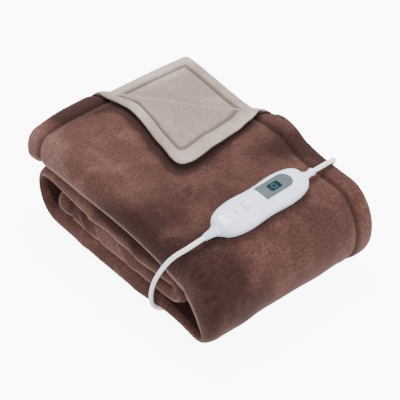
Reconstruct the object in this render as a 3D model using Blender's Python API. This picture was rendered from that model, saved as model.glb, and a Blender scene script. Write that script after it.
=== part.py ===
"""Electric heated blanket, folded into a stack, with its hand controller, leads and plug.

Metres, +Z up.  The stack stands on z = 0.  All places are first worked out in
the stack's own frame: X runs along the strip's width from the folded edges at
the left to the hemmed edges at the right, Y along the strip from its smooth
front wrap to the back, Z up from the surface.  STACK_CENTRE is then taken off,
so that the origin lies under the middle of the stack.

The blanket is first folded across its width into a strip of four plies, and
the strip is then rolled over and over into four panels.  Both folds are written
as a path with stations: a whole number is a join between a flat run and a turn.
"""
import math

import bpy
import bmesh
import numpy as np
from mathutils import Matrix, Vector

MM = 0.001
TOUCH = 0.3 * MM                 # gap between two pieces that touch

# ---------------------------------------------------------------- blanket
PLY_PITCH = 8.6 * MM             # from one ply of the strip to the next
PLY_HALF = 3.3 * MM              # half the thickness of one ply, both cloths
CLOTH_GAP = 0.15 * MM            # each cloth's face from the ply's middle
EDGE_HALF = 1.7 * MM             # half thickness at the sewn edge
EDGE_ROUND = 7.0 * MM            # width over which the edge is rounded
STACK_WIDTH = 300 * MM
PANEL_GAP = 1.5 * MM
RIGHT_FOLD_X = 290 * MM
LEFT_FOLD_X = 1.5 * PLY_PITCH + PLY_HALF

TOP_BACK_Y = 402 * MM            # hem end of the top panel
FRONT_TURN_Y = 24 * MM           # where the front wrap starts
FRONT_REACH = 34 * MM
BACK_TURN_Y = 345 * MM           # where the back turn starts
BACK_REACH = 28 * MM
INNER_TURN_Y = 74 * MM           # turn hidden inside the front wrap
INNER_REACH = 18 * MM
THIRD_END_Y = 347 * MM           # hem end of the innermost panel

# how loosely the plies of each panel lie: 1 is the ply pitch itself
LOOSE_TOP_BACK = 1.42
LOOSE_TOP_FRONT = 1.10
LOOSE_BOTTOM = 1.25
LOOSE_INNER = 0.95

# the top ply's corner, turned back over the stack
CREASE_BACK = (108 * MM, TOP_BACK_Y)         # crease meets the back hem
CREASE_RIGHT = (STACK_WIDTH, 179 * MM)       # crease meets the right hem
CREASE_RADIUS = 8.5 * MM
CREASE_REST = 7.6 * MM           # turned cloth's height over the ply below it
CREASE_SETTLE = 70 * MM          # length over which it sinks to that height
CREASE_PULL = (20 * MM, -56 * MM)            # the corner is drawn askew by this
CREASE_CELL = 35 * MM            # extra row of points past the bend
CORNER_ROUND = 20 * MM
CORNER_IN = 5 * MM

STACK_CENTRE = (152 * MM, 190 * MM)          # taken off every place

# soft rises and hollows of the stack: centre, spread and height, in millimetres
RISES = [
    # x    y    rx   ry   rise
    (150, 330, 260, 190, 12.0),      # fuller back half
    (150, 150, 220, 90, 7.0),        # shoulder behind the controller
    (300, 165, 55, 46, 12.0),        # hump beside the turned corner
    (300, 400, 70, 70, 2.0),
    (40, 330, 60, 90, 3.0),
    (0, 402, 40, 36, -10.0),         # drooping back left corner
    (200, 270, 60, 40, -2.5),
    (40, 110, 45, 40, -4.0),
]
RISE_FROM = 10 * MM              # nothing below this level moves
RISE_TO = 142 * MM

# sideways pushes at a point in the stack, in millimetres
PUSHES = [
    # x    y    z    rx   ry   rz   dx   dy
    (300, 400, 150, 110, 120, 70, 10, 1),    # upper back right corner
    (0, 402, 138, 60, 60, 50, -6, 6),        # upper back left corner
    (150, 0, 10, 190, 45, 36, 0, 8),         # foot of the front wrap
    (0, 60, 120, 60, 60, 60, 3, 0),
    (0, 82, 10, 40, 45, 30, 5, 0),           # foot of the left side
    (0, 30, 60, 40, 40, 60, 5, 3),
    (0, 370, 60, 40, 60, 40, 3, 0),
    (300, 30, 60, 60, 60, 70, 4, 0),
]

RUN_CELLS = 4                    # cells across one ply
ROW_Y = [402, 395, 345, 278, 212, 146, 74, 24]      # rows of the top panel, mm
WRAP_CELLS = 8                   # cells round the front wrap
BACK_CELLS = 6                   # cells round the back turn
INNER_CELLS = 5                  # cells round the inner turn

# ---------------------------------------------------------------- controller
BODY_LENGTH = 168 * MM
BODY_HALF_WIDTH = 28.5 * MM
BODY_WAIST = 1.8 * MM
BODY_HALF_HEIGHT = 13 * MM
END_POWER = 0.55                 # how square the outline's ends are
SIDE_POWER = 0.62                # how square its sides are
WAIST_SPAN = 0.55                # share of the length over which it is waisted
# housing's section, in millimetres: each level and how far its outline is drawn in
UPPER_LEVELS = [
    # height, inset
    (-1, 0),
    (3, 0.3),
    (7, 1.6),
    (10, 4.2),
    (12.1, 8.5),
    (13, 14.5),
]
LOWER_LEVELS = [
    # height, inset
    (-1.3, 0),
    (-5, 0.6),
    (-9, 2.6),
    (-12, 7),
    (-13, 12),
]
BODY_AT = (151 * MM, 53 * MM, 158.3 * MM)
BODY_TURN = 2.0                  # degrees, about the upright axis
BODY_TILT = 5.0                  # degrees, front side lower
WINDOW_X = (3 * MM, 58 * MM)
WINDOW_HALF = 12.5 * MM
WINDOW_DEPTH = 2.2 * MM
SCREEN_SIZE = (20 * MM, 13 * MM)
SCREEN_X = 31 * MM
SCREEN_CORNER = 3 * MM
SCREEN_DEPTH = 1.1 * MM
FILM_RISE = 0.2 * MM             # window and screen stand this proud
SLOT_X = -27 * MM
SLOT_SIZE = (50 * MM, 17 * MM)
SLOT_CORNER = 7.8 * MM
SLOT_DEPTH = 2.0 * MM
KNOB_SIZE = (15 * MM, 11 * MM, 4.2 * MM)
KNOB_CORNER = 3.5 * MM
KNOB_LEVELS = [
    # share of height, share drawn in
    (0, 0),
    (0.7, 0),
    (1.0, 0.13),
]
CUT_OVER = 2 * MM                # pockets are cut from this far above the top

RELIEF_SEAT = 79 * MM            # how far from the middle the reliefs start
RELIEF_TIP = 106 * MM
RELIEF_WIDE = (9.0 * MM, 5.0 * MM)           # half width at the seat and the tip
RELIEF_TALL = (6.6 * MM, 4.9 * MM)           # half height at the seat and the tip
RIB_DEPTH = 0.7 * MM
BLANKET_LEAD_RIBS = 5
MAINS_LEAD_RIBS = 2
RELIEF_Z = -2.5 * MM             # the leads leave below the middle

# ---------------------------------------------------------------- leads
CORD_R = 3.5 * MM
SHORT_STEP = 2.2 * 2 * CORD_R    # spacing of the points on the two short leads
LONG_STEP = 2.6 * 2 * CORD_R     # and on the mains lead
# blanket's lead, from the controller's left end to under the stack
BLANKET_LEAD = [
    # x   y   z
    (44.7, 49.5, 155.8),
    (34, 49.2, 155.4),
    (22.5, 50.3, 153.0),
    (12, 53.5, 148.4),
    (3.2, 59.2, 141.0),
    (-2.2, 67.5, 128.0),
    (-3.6, 78, 110.0),
    (-3.4, 90, 88.0),
    (-3.2, 101, 64.0),
    (-3.2, 108, 42.0),
    (-3.2, 110, 26.0),
    (-2.5, 109, 14.0),
    (0.8, 106, 6.0),
    (5.0, 99.5, 3.9),
]
# mains lead, from the controller's right end down the right side and round
MAINS_LEAD = [
    # x   y    z
    (257.4, 56.9, 155.8),
    (267, 57.2, 155.4),
    (279, 57.8, 154.8),
    (291, 59.0, 153.4),
    (303, 62.4, 149.0),
    (309.5, 69.5, 136.5),
    (310, 80, 116.0),
    (309.5, 93, 94.0),
    (309, 109, 68.0),
    (308.5, 129, 40.0),
    (308, 154, 17.0),
    (307.5, 184, 5.6),
    (307, 220, 3.8),
    (306.5, 280, 3.8),
    (307, 340, 3.8),
    (308, 385, 3.8),
    (303, 416, 3.8),
    (288, 442, 3.8),
    (273.9, 465.5, 3.8),
    (259.9, 489.3, 3.8),
]
COIL_AT = (216 * MM, 464 * MM)
COIL_RADIUS = 40 * MM            # middle of the turns
COIL_HALF = 10 * MM              # half the thickness of the bundle
COIL_Z = 12 * MM
TIE_WIDTH = 7 * MM
TIE_THICK = 1.1 * MM
TIE_ROOM = 3 * TOUCH             # between the tie and the bundle
TIE_ANGLE = 80                   # degrees round the coil
PLUG_TAIL = [
    # x   y    z
    (172.2, 489.2, 3.8),
    (164.6, 477.0, 4.4),
    (157, 465.2, 6.6),
    (150.5, 454, 7.0),
]
PLUG_AT = (141.5 * MM, 438.3 * MM, 7.0 * MM)
PLUG_TURN = 240.0                # degrees, direction in which the pins point
PLUG_LENGTH = 35 * MM
PLUG_WIDTH = 26 * MM
PLUG_NECK = 9 * MM
PLUG_HEIGHT = 14 * MM
PLUG_CORNER = 0.7                # corner radius, as a share of the half height
PLUG_LEVELS = [
    # share of length, share of full width
    (0, 0.0),
    (0.3, 0.12),
    (0.55, 0.75),
    (0.8, 1.0),
    (1, 1.0),
]
PIN_RADIUS = 2 * MM
PIN_PITCH = 18.6 * MM
PIN_LEVELS = [
    # along the pin in mm, share of radius
    (0.3, 1.0),
    (17.5, 1.0),
    (19, 0.6),
]


# ================================================================ materials
def material(name, colour, roughness, metallic=0.0):
    mat = bpy.data.materials.new(name)
    mat.use_nodes = True
    bsdf = mat.node_tree.nodes["Principled BSDF"]
    bsdf.inputs["Base Color"].default_value = (*colour, 1.0)
    bsdf.inputs["Roughness"].default_value = roughness
    bsdf.inputs["Metallic"].default_value = metallic
    mat.diffuse_color = (*colour, 1.0)
    return mat


def add_object(name, verts, faces, mat, smooth=True):
    """a mesh object with its faces turned outwards"""
    mesh = bpy.data.meshes.new(name)
    mesh.from_pydata([tuple(v) for v in verts], [], [tuple(f) for f in faces])
    bm = bmesh.new()
    bm.from_mesh(mesh)
    bmesh.ops.recalc_face_normals(bm, faces=bm.faces)
    bm.to_mesh(mesh)
    bm.free()
    mesh.update()
    if smooth:
        mesh.shade_smooth()
        mesh.set_sharp_from_angle(angle=math.radians(35))
    obj = bpy.data.objects.new(name, mesh)
    bpy.context.scene.collection.objects.link(obj)
    obj.data.materials.append(mat)
    return obj


def stack_matrix():
    """puts the stack's middle over the origin"""
    return Matrix.Translation((-STACK_CENTRE[0], -STACK_CENTRE[1], 0))


# ================================================================ fold paths
def smooth(t):
    """eased step from 0 to 1"""
    t = np.clip(t, 0.0, 1.0)
    return t * t * (3 - 2 * t)


def half_panel(loose):
    """half the height of a panel whose plies lie this loosely"""
    return 1.5 * PLY_PITCH * loose + PLY_HALF


def half_ellipse(a, centre, reach, half, side):
    """point and normal on a half ellipse, a from 0 to pi, bulging to side"""
    along = side * reach * np.sin(a)
    level = centre + half * np.cos(a)
    n_along = side * abs(half) * np.sin(a)
    n_level = reach * np.cos(a) * np.sign(half)
    size = np.hypot(n_along, n_level)
    return along, level, n_along / size, n_level / size


def panel_levels():
    """height of each panel's middle, bottom panel first, and the top's underside"""
    bottom = half_panel(LOOSE_BOTTOM)
    third = 2 * bottom + PANEL_GAP + half_panel(LOOSE_INNER)
    second = third + 2 * half_panel(LOOSE_INNER) + PANEL_GAP
    under_top = second + half_panel(LOOSE_INNER) + PANEL_GAP
    return bottom, third, second, under_top


def panel_at(t):
    """The strip's middle line, rolled: top run, front wrap, bottom run, back turn,
    second run, inner turn, third run.  Gives y, z, the outward normal and how
    loosely the plies lie, at stations 0 to 7."""
    bottom, third, second, under_top = panel_levels()
    top_front = under_top + half_panel(LOOSE_TOP_FRONT)
    f = np.clip(t - np.floor(np.minimum(t, 6.999)), 0, 1)
    k = np.minimum(np.floor(t), 6).astype(int)
    y = np.zeros_like(t)
    z = np.zeros_like(t)
    ny = np.zeros_like(t)
    nz = np.zeros_like(t)
    loose = np.full_like(t, LOOSE_INNER)
    runs = [
        # station, y start, y end, level
        (0, TOP_BACK_Y, FRONT_TURN_Y, None),
        (2, FRONT_TURN_Y, BACK_TURN_Y, bottom),
        (4, BACK_TURN_Y, INNER_TURN_Y, second),
        (6, INNER_TURN_Y, THIRD_END_Y, third),
    ]
    turns = [
        # station, y, level before, level after, reach, side
        (1, FRONT_TURN_Y, top_front, bottom, FRONT_REACH, -1),
        (3, BACK_TURN_Y, bottom, second, BACK_REACH, 1),
        (5, INNER_TURN_Y, second, third, INNER_REACH, -1),
    ]
    for station, start, end, level in runs:
        m = k == station
        y[m] = start + (end - start) * f[m]
        nz[m] = 1.0 if start > end else -1.0
        if level is None:
            loose[m] = LOOSE_TOP_BACK + (LOOSE_TOP_FRONT - LOOSE_TOP_BACK) * smooth(f[m])
            z[m] = under_top + half_panel(loose[m])
        else:
            z[m] = level
            loose[m] = LOOSE_BOTTOM if station == 2 else LOOSE_INNER
    for station, at, before, after, reach, side in turns:
        m = k == station
        a = math.pi * f[m]
        dy, level, n_y, n_z = half_ellipse(
            a, (before + after) / 2, reach, (before - after) / 2, side)
        y[m] = at + dy
        z[m] = level
        ny[m] = n_y
        nz[m] = n_z
        if station == 1:
            loose[m] = LOOSE_TOP_FRONT + (LOOSE_BOTTOM - LOOSE_TOP_FRONT) * smooth(f[m])
        if station == 3:
            loose[m] = LOOSE_BOTTOM + (LOOSE_INNER - LOOSE_BOTTOM) * smooth(f[m])
    return y, z, ny, nz, loose


def ply_at(s):
    """One strip's plies: top ply from the right hem, left fold, bottom ply, right
    fold, second from the bottom, inner left fold, second ply to the right hem.
    Gives x, the offset from the strip's middle and the dark face's normal."""
    f = np.clip(s - np.floor(np.minimum(s, 6.999)), 0, 1)
    k = np.minimum(np.floor(s), 6).astype(int)
    x = np.zeros_like(s)
    off = np.zeros_like(s)
    nx = np.zeros_like(s)
    no = np.zeros_like(s)
    top, low, mid_low, mid_top = [c * PLY_PITCH for c in (1.5, -1.5, -0.5, 0.5)]
    runs = [
        # station, x start, x end, offset
        (0, STACK_WIDTH, LEFT_FOLD_X, top),
        (2, LEFT_FOLD_X, RIGHT_FOLD_X, low),
        (4, RIGHT_FOLD_X, LEFT_FOLD_X, mid_low),
        (6, LEFT_FOLD_X, STACK_WIDTH, mid_top),
    ]
    turns = [
        # station, x, offset before, offset after, side, dark face outside
        (1, LEFT_FOLD_X, top, low, -1, 1),
        (3, RIGHT_FOLD_X, low, mid_low, 1, 1),
        (5, LEFT_FOLD_X, mid_low, mid_top, -1, -1),
    ]
    for station, start, end, offset in runs:
        m = k == station
        x[m] = start + (end - start) * f[m]
        off[m] = offset
        no[m] = 1.0 if start > end else -1.0
    for station, at, before, after, side, outside in turns:
        m = k == station
        half = (before - after) / 2
        dx, o, n_x, n_o = half_ellipse(math.pi * f[m], (before + after) / 2, abs(half), half, side)
        x[m] = at + dx
        off[m] = o
        nx[m] = outside * n_x
        no[m] = outside * n_o
    return x, off, nx, no


def crease_frame():
    """start of the crease, and the unit vector across it towards the corner"""
    a = np.array(CREASE_BACK)
    b = np.array(CREASE_RIGHT)
    along = (b - a) / np.linalg.norm(b - a)
    return a, np.array([-along[1], along[0]])


def round_corner(x, y):
    """the hemmed corner of the top ply is drawn in to a round"""
    near = np.exp(-(((x - STACK_WIDTH) ** 2 + (y - TOP_BACK_Y) ** 2) / CORNER_ROUND ** 2))
    return x - CORNER_IN * near, y - CORNER_IN * near


def turn_corner(x, y):
    """The top ply past the crease goes up and back in a half circle, then sinks
    on to the ply below.  Gives x, y, rise and the dark face's normal."""
    start, across = crease_frame()
    s = (x - start[0]) * across[0] + (y - start[1]) * across[1]
    bend = math.pi * CREASE_RADIUS
    a = np.clip(s / CREASE_RADIUS, 0, math.pi)
    past = np.maximum(s - bend, 0)
    reach = np.where(s > 0, CREASE_RADIUS * np.sin(a) - past, s)
    settle = smooth(past / CREASE_SETTLE)
    rise = CREASE_RADIUS * (1 - np.cos(a))
    rise = rise + (CREASE_REST - 2 * CREASE_RADIUS) * settle
    corner = (np.array([STACK_WIDTH, TOP_BACK_Y]) - start) @ across - bend
    pull = past / corner
    move = reach - s
    px = x + move * across[0] + CREASE_PULL[0] * pull
    py = y + move * across[1] + CREASE_PULL[1] * pull
    n_across = -np.sin(a)
    return px, py, rise, n_across * across[0], n_across * across[1], np.cos(a)


def warp(p):
    """the soft unevenness of the whole stack: rises and sideways pushes"""
    p = p.copy()
    x, y, z = p[:, 0].copy(), p[:, 1].copy(), p[:, 2].copy()
    grow = smooth((z - RISE_FROM) / (RISE_TO - RISE_FROM))
    for cx, cy, rx, ry, rise in RISES:
        far = ((x / MM - cx) / rx) ** 2 + ((y / MM - cy) / ry) ** 2
        p[:, 2] += rise * MM * grow * np.exp(-far)
    for cx, cy, cz, rx, ry, rz, dx, dy in PUSHES:
        far = (((x / MM - cx) / rx) ** 2 + ((y / MM - cy) / ry) ** 2
               + ((z / MM - cz) / rz) ** 2)
        near = np.exp(-far)
        p[:, 0] += dx * MM * near
        p[:, 1] += dy * MM * near
    return p


def blanket_point(t, s, w):
    """place of the cloth at strip station t and ply station s, w off its middle"""
    y, z, ny, nz, loose = panel_at(t)
    x, off, nx, no = ply_at(s)
    tall = off * loose
    n_size = np.hypot(nx * loose, no)
    mx = nx * loose / n_size
    mo = no / n_size
    p = np.stack([x + mx * w, y + ny * (tall + mo * w), z + nz * (tall + mo * w)], 1)
    top = (t <= 1) & (s <= 1)
    rx, ry = round_corner(x[top], y[top])
    qx, qy, rise, n_x, n_y, n_z = turn_corner(rx, ry)
    p[top] = np.stack([qx + n_x * w[top], qy + n_y * w[top],
                       z[top] + tall[top] + rise + n_z * w[top]], 1)
    return warp(p)


# ================================================================ blanket
def strip_stations():
    """strip stations of the rows: runs share the same y rows in every panel"""
    rows = [(TOP_BACK_Y - y * MM) / (TOP_BACK_Y - FRONT_TURN_Y) for y in ROW_Y]
    rows += [1 + i / WRAP_CELLS for i in range(1, WRAP_CELLS)]
    inner = [y * MM for y in ROW_Y[2:-1]]
    forth = (FRONT_TURN_Y, BACK_TURN_Y)
    rows += [2 + (y - forth[0]) / (forth[1] - forth[0]) for y in [forth[0]] + inner[::-1]]
    rows += [3 + i / BACK_CELLS for i in range(1, BACK_CELLS)]
    back = (BACK_TURN_Y, INNER_TURN_Y)
    rows += [4 + (y - back[0]) / (back[1] - back[0]) for y in inner]
    rows += [5 + i / INNER_CELLS for i in range(1, INNER_CELLS)]
    last = (INNER_TURN_Y, THIRD_END_Y)
    third = inner[::-1][:-1] + [THIRD_END_Y - EDGE_ROUND, THIRD_END_Y]
    rows += [6 + (y - last[0]) / (last[1] - last[0]) for y in third]
    return sorted(set(round(r, 6) for r in rows))


def ply_stations():
    """ply stations of the columns: every ply has the same x columns"""
    top = (STACK_WIDTH, LEFT_FOLD_X)
    edge = EDGE_ROUND / (top[0] - top[1])
    columns = [LEFT_FOLD_X + (RIGHT_FOLD_X - LEFT_FOLD_X) * i / RUN_CELLS
               for i in range(RUN_CELLS)]
    stations = [0, edge] + [(top[0] - x) / (top[0] - top[1]) for x in columns]
    stations += [1 + i / 6 for i in range(1, 6)]
    stations += [2 + i / RUN_CELLS for i in range(RUN_CELLS + 1)]
    stations += [3 + i / 3 for i in range(1, 3)]
    stations += [4 + i / RUN_CELLS for i in range(RUN_CELLS + 1)]
    stations += [5 + i / 3 for i in range(1, 3)]
    stations += [6 + (x - top[1]) / (top[0] - top[1]) for x in columns]
    stations += [7 - edge, 7]
    return sorted(set(round(v, 6) for v in stations))


def flat_pattern():
    """Triangles of the blanket's flat pattern in station space, cut along the
    lines where the top ply's corner bends."""
    rows = strip_stations()
    columns = ply_stations()
    bm = bmesh.new()
    grid = [[bm.verts.new((t, s, 0)) for s in columns] for t in rows]
    for i in range(len(rows) - 1):
        for j in range(len(columns) - 1):
            bm.faces.new((grid[i][j], grid[i + 1][j], grid[i + 1][j + 1], grid[i][j + 1]))
    start, across = crease_frame()
    run_y = TOP_BACK_Y - FRONT_TURN_Y
    run_x = STACK_WIDTH - LEFT_FOLD_X
    normal = Vector((-across[1] * run_y, -across[0] * run_x, 0))
    bend = math.pi * CREASE_RADIUS
    for s in (0, bend / 3, 2 * bend / 3, bend, bend + CREASE_CELL):
        x = start[0] + s * across[0]
        y = start[1] + s * across[1]
        point = Vector(((TOP_BACK_Y - y) / run_y, (STACK_WIDTH - x) / run_x, 0))
        near = [f for f in bm.faces
                if f.calc_center_median().x < 1 and f.calc_center_median().y < 1]
        edges = set(e for f in near for e in f.edges)
        verts = set(v for f in near for v in f.verts)
        bmesh.ops.bisect_plane(bm, geom=near + list(edges) + list(verts),
                               plane_co=point, plane_no=normal, dist=1e-5)
    bmesh.ops.triangulate(bm, faces=bm.faces)
    bm.verts.index_update()
    flat = np.array([v.co[:2] for v in bm.verts])
    faces = [tuple(v.index for v in f.verts) for f in bm.faces]
    rim = [tuple(v.index for v in e.verts) for e in bm.edges if len(e.link_faces) == 1]
    bm.free()
    return flat, faces, rim


def edge_distance(t, s):
    """distance from the nearest sewn edge, near enough beside the edges"""
    run_y = TOP_BACK_Y - FRONT_TURN_Y
    run_x = STACK_WIDTH - LEFT_FOLD_X
    last = THIRD_END_Y - INNER_TURN_Y
    return np.minimum.reduce([t * run_y, (7 - t) * last, s * run_x, (7 - s) * run_x])


def cloth(name, side, mat, pattern):
    """one of the two cloths sewn together: side 1 is the dark one, -1 the light"""
    flat, faces, rim = pattern
    t, s = flat[:, 0], flat[:, 1]
    swell = np.sqrt(np.clip(edge_distance(t, s) / EDGE_ROUND, 0, 1))
    outer = EDGE_HALF + (PLY_HALF - EDGE_HALF) * swell
    far = blanket_point(t, s, side * outer)
    near = blanket_point(t, s, side * np.full_like(t, CLOTH_GAP))
    count = len(flat)
    solid = [tuple(f) for f in faces]
    solid += [tuple(count + i for i in reversed(f)) for f in faces]
    for a, b in rim:
        solid += [(a, b, count + b), (a, count + b, count + a)]
    obj = add_object(name, np.concatenate([far, near]), solid, mat)
    obj.matrix_world = stack_matrix()


# ================================================================ controller
def body_matrix():
    """where the controller lies, from its own frame"""
    turn = Matrix.Rotation(math.radians(BODY_TURN), 4, "Z")
    tilt = Matrix.Rotation(math.radians(BODY_TILT), 4, "X")
    return stack_matrix() @ Matrix.Translation(BODY_AT) @ turn @ tilt


def body_outline(inset, count=44):
    """rounded oblong with a slight waist, drawn in by inset"""
    a = 2 * math.pi * np.arange(count) / count
    c, s = np.cos(a), np.sin(a)
    half = BODY_LENGTH / 2 - inset
    x = half * np.sign(c) * np.abs(c) ** END_POWER
    middle = np.clip(x / (WAIST_SPAN * half), -1, 1)
    wide = BODY_HALF_WIDTH - BODY_WAIST * np.cos(math.pi * middle / 2) ** 2
    y = (wide - inset) * np.sign(s) * np.abs(s) ** SIDE_POWER
    return np.stack([x, y], 1)


def loft(rings):
    """closed solid through rings of equal point count, capped flat"""
    count = len(rings[0])
    verts = [tuple(p) for ring in rings for p in ring]
    faces = []
    for k in range(len(rings) - 1):
        for i in range(count):
            j = (i + 1) % count
            faces.append((k * count + i, k * count + j, (k + 1) * count + j, (k + 1) * count + i))
    faces.append(tuple(range(count - 1, -1, -1)))
    faces.append(tuple((len(rings) - 1) * count + i for i in range(count)))
    return verts, faces


def shell(name, levels, mat):
    """half of the controller's housing, from (height, inset) levels"""
    rings = []
    for height, inset in levels:
        flat = body_outline(inset * MM)
        rings.append(np.column_stack([flat, np.full(len(flat), height * MM)]))
    verts, faces = loft(rings)
    obj = add_object(name, verts, faces, mat)
    obj.matrix_world = body_matrix()
    return obj


def rounded_outline(length, width, radius, steps=6):
    """outline of a rectangle with round corners, centred"""
    points = []
    for quarter in range(4):
        cx = (length / 2 - radius) * (1 if quarter in (0, 3) else -1)
        cy = (width / 2 - radius) * (1 if quarter in (0, 1) else -1)
        for i in range(steps + 1):
            a = math.pi / 2 * (quarter + i / steps)
            points.append((cx + radius * math.cos(a), cy + radius * math.sin(a)))
    return points


def window_outline(grow):
    """window: straight end towards the switch, round end towards the lead"""
    half = WINDOW_HALF + grow
    x0, x1 = WINDOW_X[0] - grow, WINDOW_X[1] + grow
    points = [(x0, -half)]
    for i in range(13):
        a = -math.pi / 2 + math.pi * i / 12
        points.append((x1 - half + half * math.cos(a), half * math.sin(a)))
    points.append((x0, half))
    return points


def prism(name, outline, low, high, mat, centre=(0, 0)):
    """upright prism on an outline"""
    flat = np.array(outline) + np.array(centre)
    rings = [np.column_stack([flat, np.full(len(flat), level)]) for level in (low, high)]
    verts, faces = loft(rings)
    obj = add_object(name, verts, faces, mat)
    obj.matrix_world = body_matrix()
    return obj


def cut(target, cutter):
    """take the cutter's shape out of the target"""
    cutter.hide_render = True
    cutter.display_type = "WIRE"
    mod = target.modifiers.new("cut_" + cutter.name, "BOOLEAN")
    mod.operation = "DIFFERENCE"
    mod.solver = "EXACT"
    mod.object = cutter


def relief_ring(x, wide, tall, count=16):
    """oval section of a sleeve at x"""
    a = 2 * math.pi * np.arange(count) / count
    return np.column_stack([np.full(count, x), wide * np.cos(a), RELIEF_Z + tall * np.sin(a)])


def relief(name, side, ribs, mat):
    """tapered sleeve that the lead leaves the housing through"""
    length = RELIEF_TIP - RELIEF_SEAT
    steps = 2 * ribs + 3
    rings = []
    for i in range(steps):
        f = i / (steps - 1)
        groove = RIB_DEPTH if i % 2 == 1 and 3 <= i < steps - 1 else 0.0
        wide = RELIEF_WIDE[0] + (RELIEF_WIDE[1] - RELIEF_WIDE[0]) * f
        tall = RELIEF_TALL[0] + (RELIEF_TALL[1] - RELIEF_TALL[0]) * f
        rings.append(relief_ring(side * (RELIEF_SEAT + length * f), wide - groove, tall - groove))
    verts, faces = loft(rings)
    obj = add_object(name, verts, faces, mat)
    obj.matrix_world = body_matrix()


def relief_cutter(name, side, mat):
    """seat of a sleeve in the end of the housing"""
    rings = [relief_ring(side * x, RELIEF_WIDE[0] + TOUCH, RELIEF_TALL[0] + TOUCH)
             for x in (RELIEF_SEAT - TOUCH, BODY_LENGTH / 2 + CUT_OVER)]
    verts, faces = loft(rings)
    obj = add_object(name, verts, faces, mat, smooth=False)
    obj.matrix_world = body_matrix()
    return obj


def controller(mats):
    """housing in two halves, window, screen, slot with its knob, and the sleeves"""
    white = mats["white"]
    upper = shell("controller_upper", UPPER_LEVELS, white)
    lower = shell("controller_lower", LOWER_LEVELS, white)
    for side, tag in ((-1, "left"), (1, "right")):
        cutter = relief_cutter("cutter_relief_" + tag, side, white)
        cut(upper, cutter)
        cut(lower, cutter)
    top = BODY_HALF_HEIGHT
    over = top + CUT_OVER
    pocket = prism("cutter_window", window_outline(TOUCH), top - WINDOW_DEPTH, over, white)
    cut(upper, pocket)
    slot = prism("cutter_slot", rounded_outline(*SLOT_SIZE, SLOT_CORNER),
                 top - SLOT_DEPTH, over, white, (SLOT_X, 0))
    cut(upper, slot)
    window = prism("controller_window", window_outline(0), top - WINDOW_DEPTH + TOUCH,
                   top + FILM_RISE, mats["grey"])
    length, width = SCREEN_SIZE
    hole = prism("cutter_screen",
                 rounded_outline(length + 2 * TOUCH, width + 2 * TOUCH, SCREEN_CORNER + TOUCH),
                 top - SCREEN_DEPTH, over, white, (SCREEN_X, 0))
    cut(window, hole)
    prism("controller_screen", rounded_outline(length, width, SCREEN_CORNER),
          top - SCREEN_DEPTH + TOUCH, top + FILM_RISE, mats["dark"], (SCREEN_X, 0))
    knob(mats["knob"])
    relief("blanket_lead_relief", -1, BLANKET_LEAD_RIBS, white)
    relief("mains_lead_relief", 1, MAINS_LEAD_RIBS, white)


def knob(mat):
    """slide switch's knob, its top edge drawn in"""
    length, width, height = KNOB_SIZE
    floor = BODY_HALF_HEIGHT - SLOT_DEPTH + TOUCH
    rings = []
    for f, inset in KNOB_LEVELS:
        outline = np.array(rounded_outline(length, width, KNOB_CORNER, 4)) * (1 - inset)
        rings.append(np.column_stack([outline, np.full(len(outline), floor + f * height)]))
    verts, faces = loft(rings)
    obj = add_object("controller_knob", verts, faces, mat)
    obj.matrix_world = body_matrix() @ Matrix.Translation((SLOT_X, 0, 0))


# ================================================================ leads
def smooth_route(points, spacing):
    """Even points on a smooth curve through the route's own points: a
    Catmull-Rom curve with chord-length knots, in metres."""
    p = np.array(points, float) * MM
    p = np.concatenate([[2 * p[0] - p[1]], p, [2 * p[-1] - p[-2]]])
    knots = np.concatenate([[0], np.cumsum(np.sqrt(np.linalg.norm(np.diff(p, axis=0), axis=1)))])
    dense = []
    for i in range(1, len(p) - 2):
        t0, t1, t2, t3 = knots[i - 1:i + 3]
        t = np.linspace(t1, t2, 24, endpoint=i == len(p) - 3)[:, None]
        a1 = (t1 - t) / (t1 - t0) * p[i - 1] + (t - t0) / (t1 - t0) * p[i]
        a2 = (t2 - t) / (t2 - t1) * p[i] + (t - t1) / (t2 - t1) * p[i + 1]
        a3 = (t3 - t) / (t3 - t2) * p[i + 1] + (t - t2) / (t3 - t2) * p[i + 2]
        b1 = (t2 - t) / (t2 - t0) * a1 + (t - t0) / (t2 - t0) * a2
        b2 = (t3 - t) / (t3 - t1) * a2 + (t - t1) / (t3 - t1) * a3
        dense.append((t2 - t) / (t2 - t1) * b1 + (t - t1) / (t2 - t1) * b2)
    dense = np.concatenate(dense)
    run = np.concatenate([[0], np.cumsum(np.linalg.norm(np.diff(dense, axis=0), axis=1))])
    count = max(2, int(round(run[-1] / spacing)) + 1)
    even = np.linspace(0, run[-1], count)
    return np.column_stack([np.interp(even, run, dense[:, c]) for c in range(3)])


def tube(name, points, mat):
    """cord: a poly curve with a round bevel and filled caps"""
    curve = bpy.data.curves.new(name, "CURVE")
    curve.dimensions = "3D"
    curve.bevel_depth = CORD_R
    curve.bevel_resolution = 2
    curve.use_fill_caps = True
    spline = curve.splines.new("POLY")
    spline.points.add(len(points) - 1)
    for point, place in zip(spline.points, points):
        point.co = (*place, 1.0)
    obj = bpy.data.objects.new(name, curve)
    bpy.context.scene.collection.objects.link(obj)
    obj.data.materials.append(mat)
    obj.matrix_world = stack_matrix()


def ring_solid(name, radius, half_wide, half_tall, mat, around=28, section=8):
    """turned ring of an oval section, about the upright axis"""
    verts = []
    faces = []
    for i in range(around):
        a = 2 * math.pi * i / around
        for j in range(section):
            b = 2 * math.pi * j / section
            r = radius + half_wide * math.cos(b)
            verts.append((r * math.cos(a), r * math.sin(a), half_tall * math.sin(b)))
    for i in range(around):
        for j in range(section):
            k, m = (i + 1) % around, (j + 1) % section
            faces.append((i * section + j, k * section + j, k * section + m, i * section + m))
    return add_object(name, verts, faces, mat)


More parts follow.
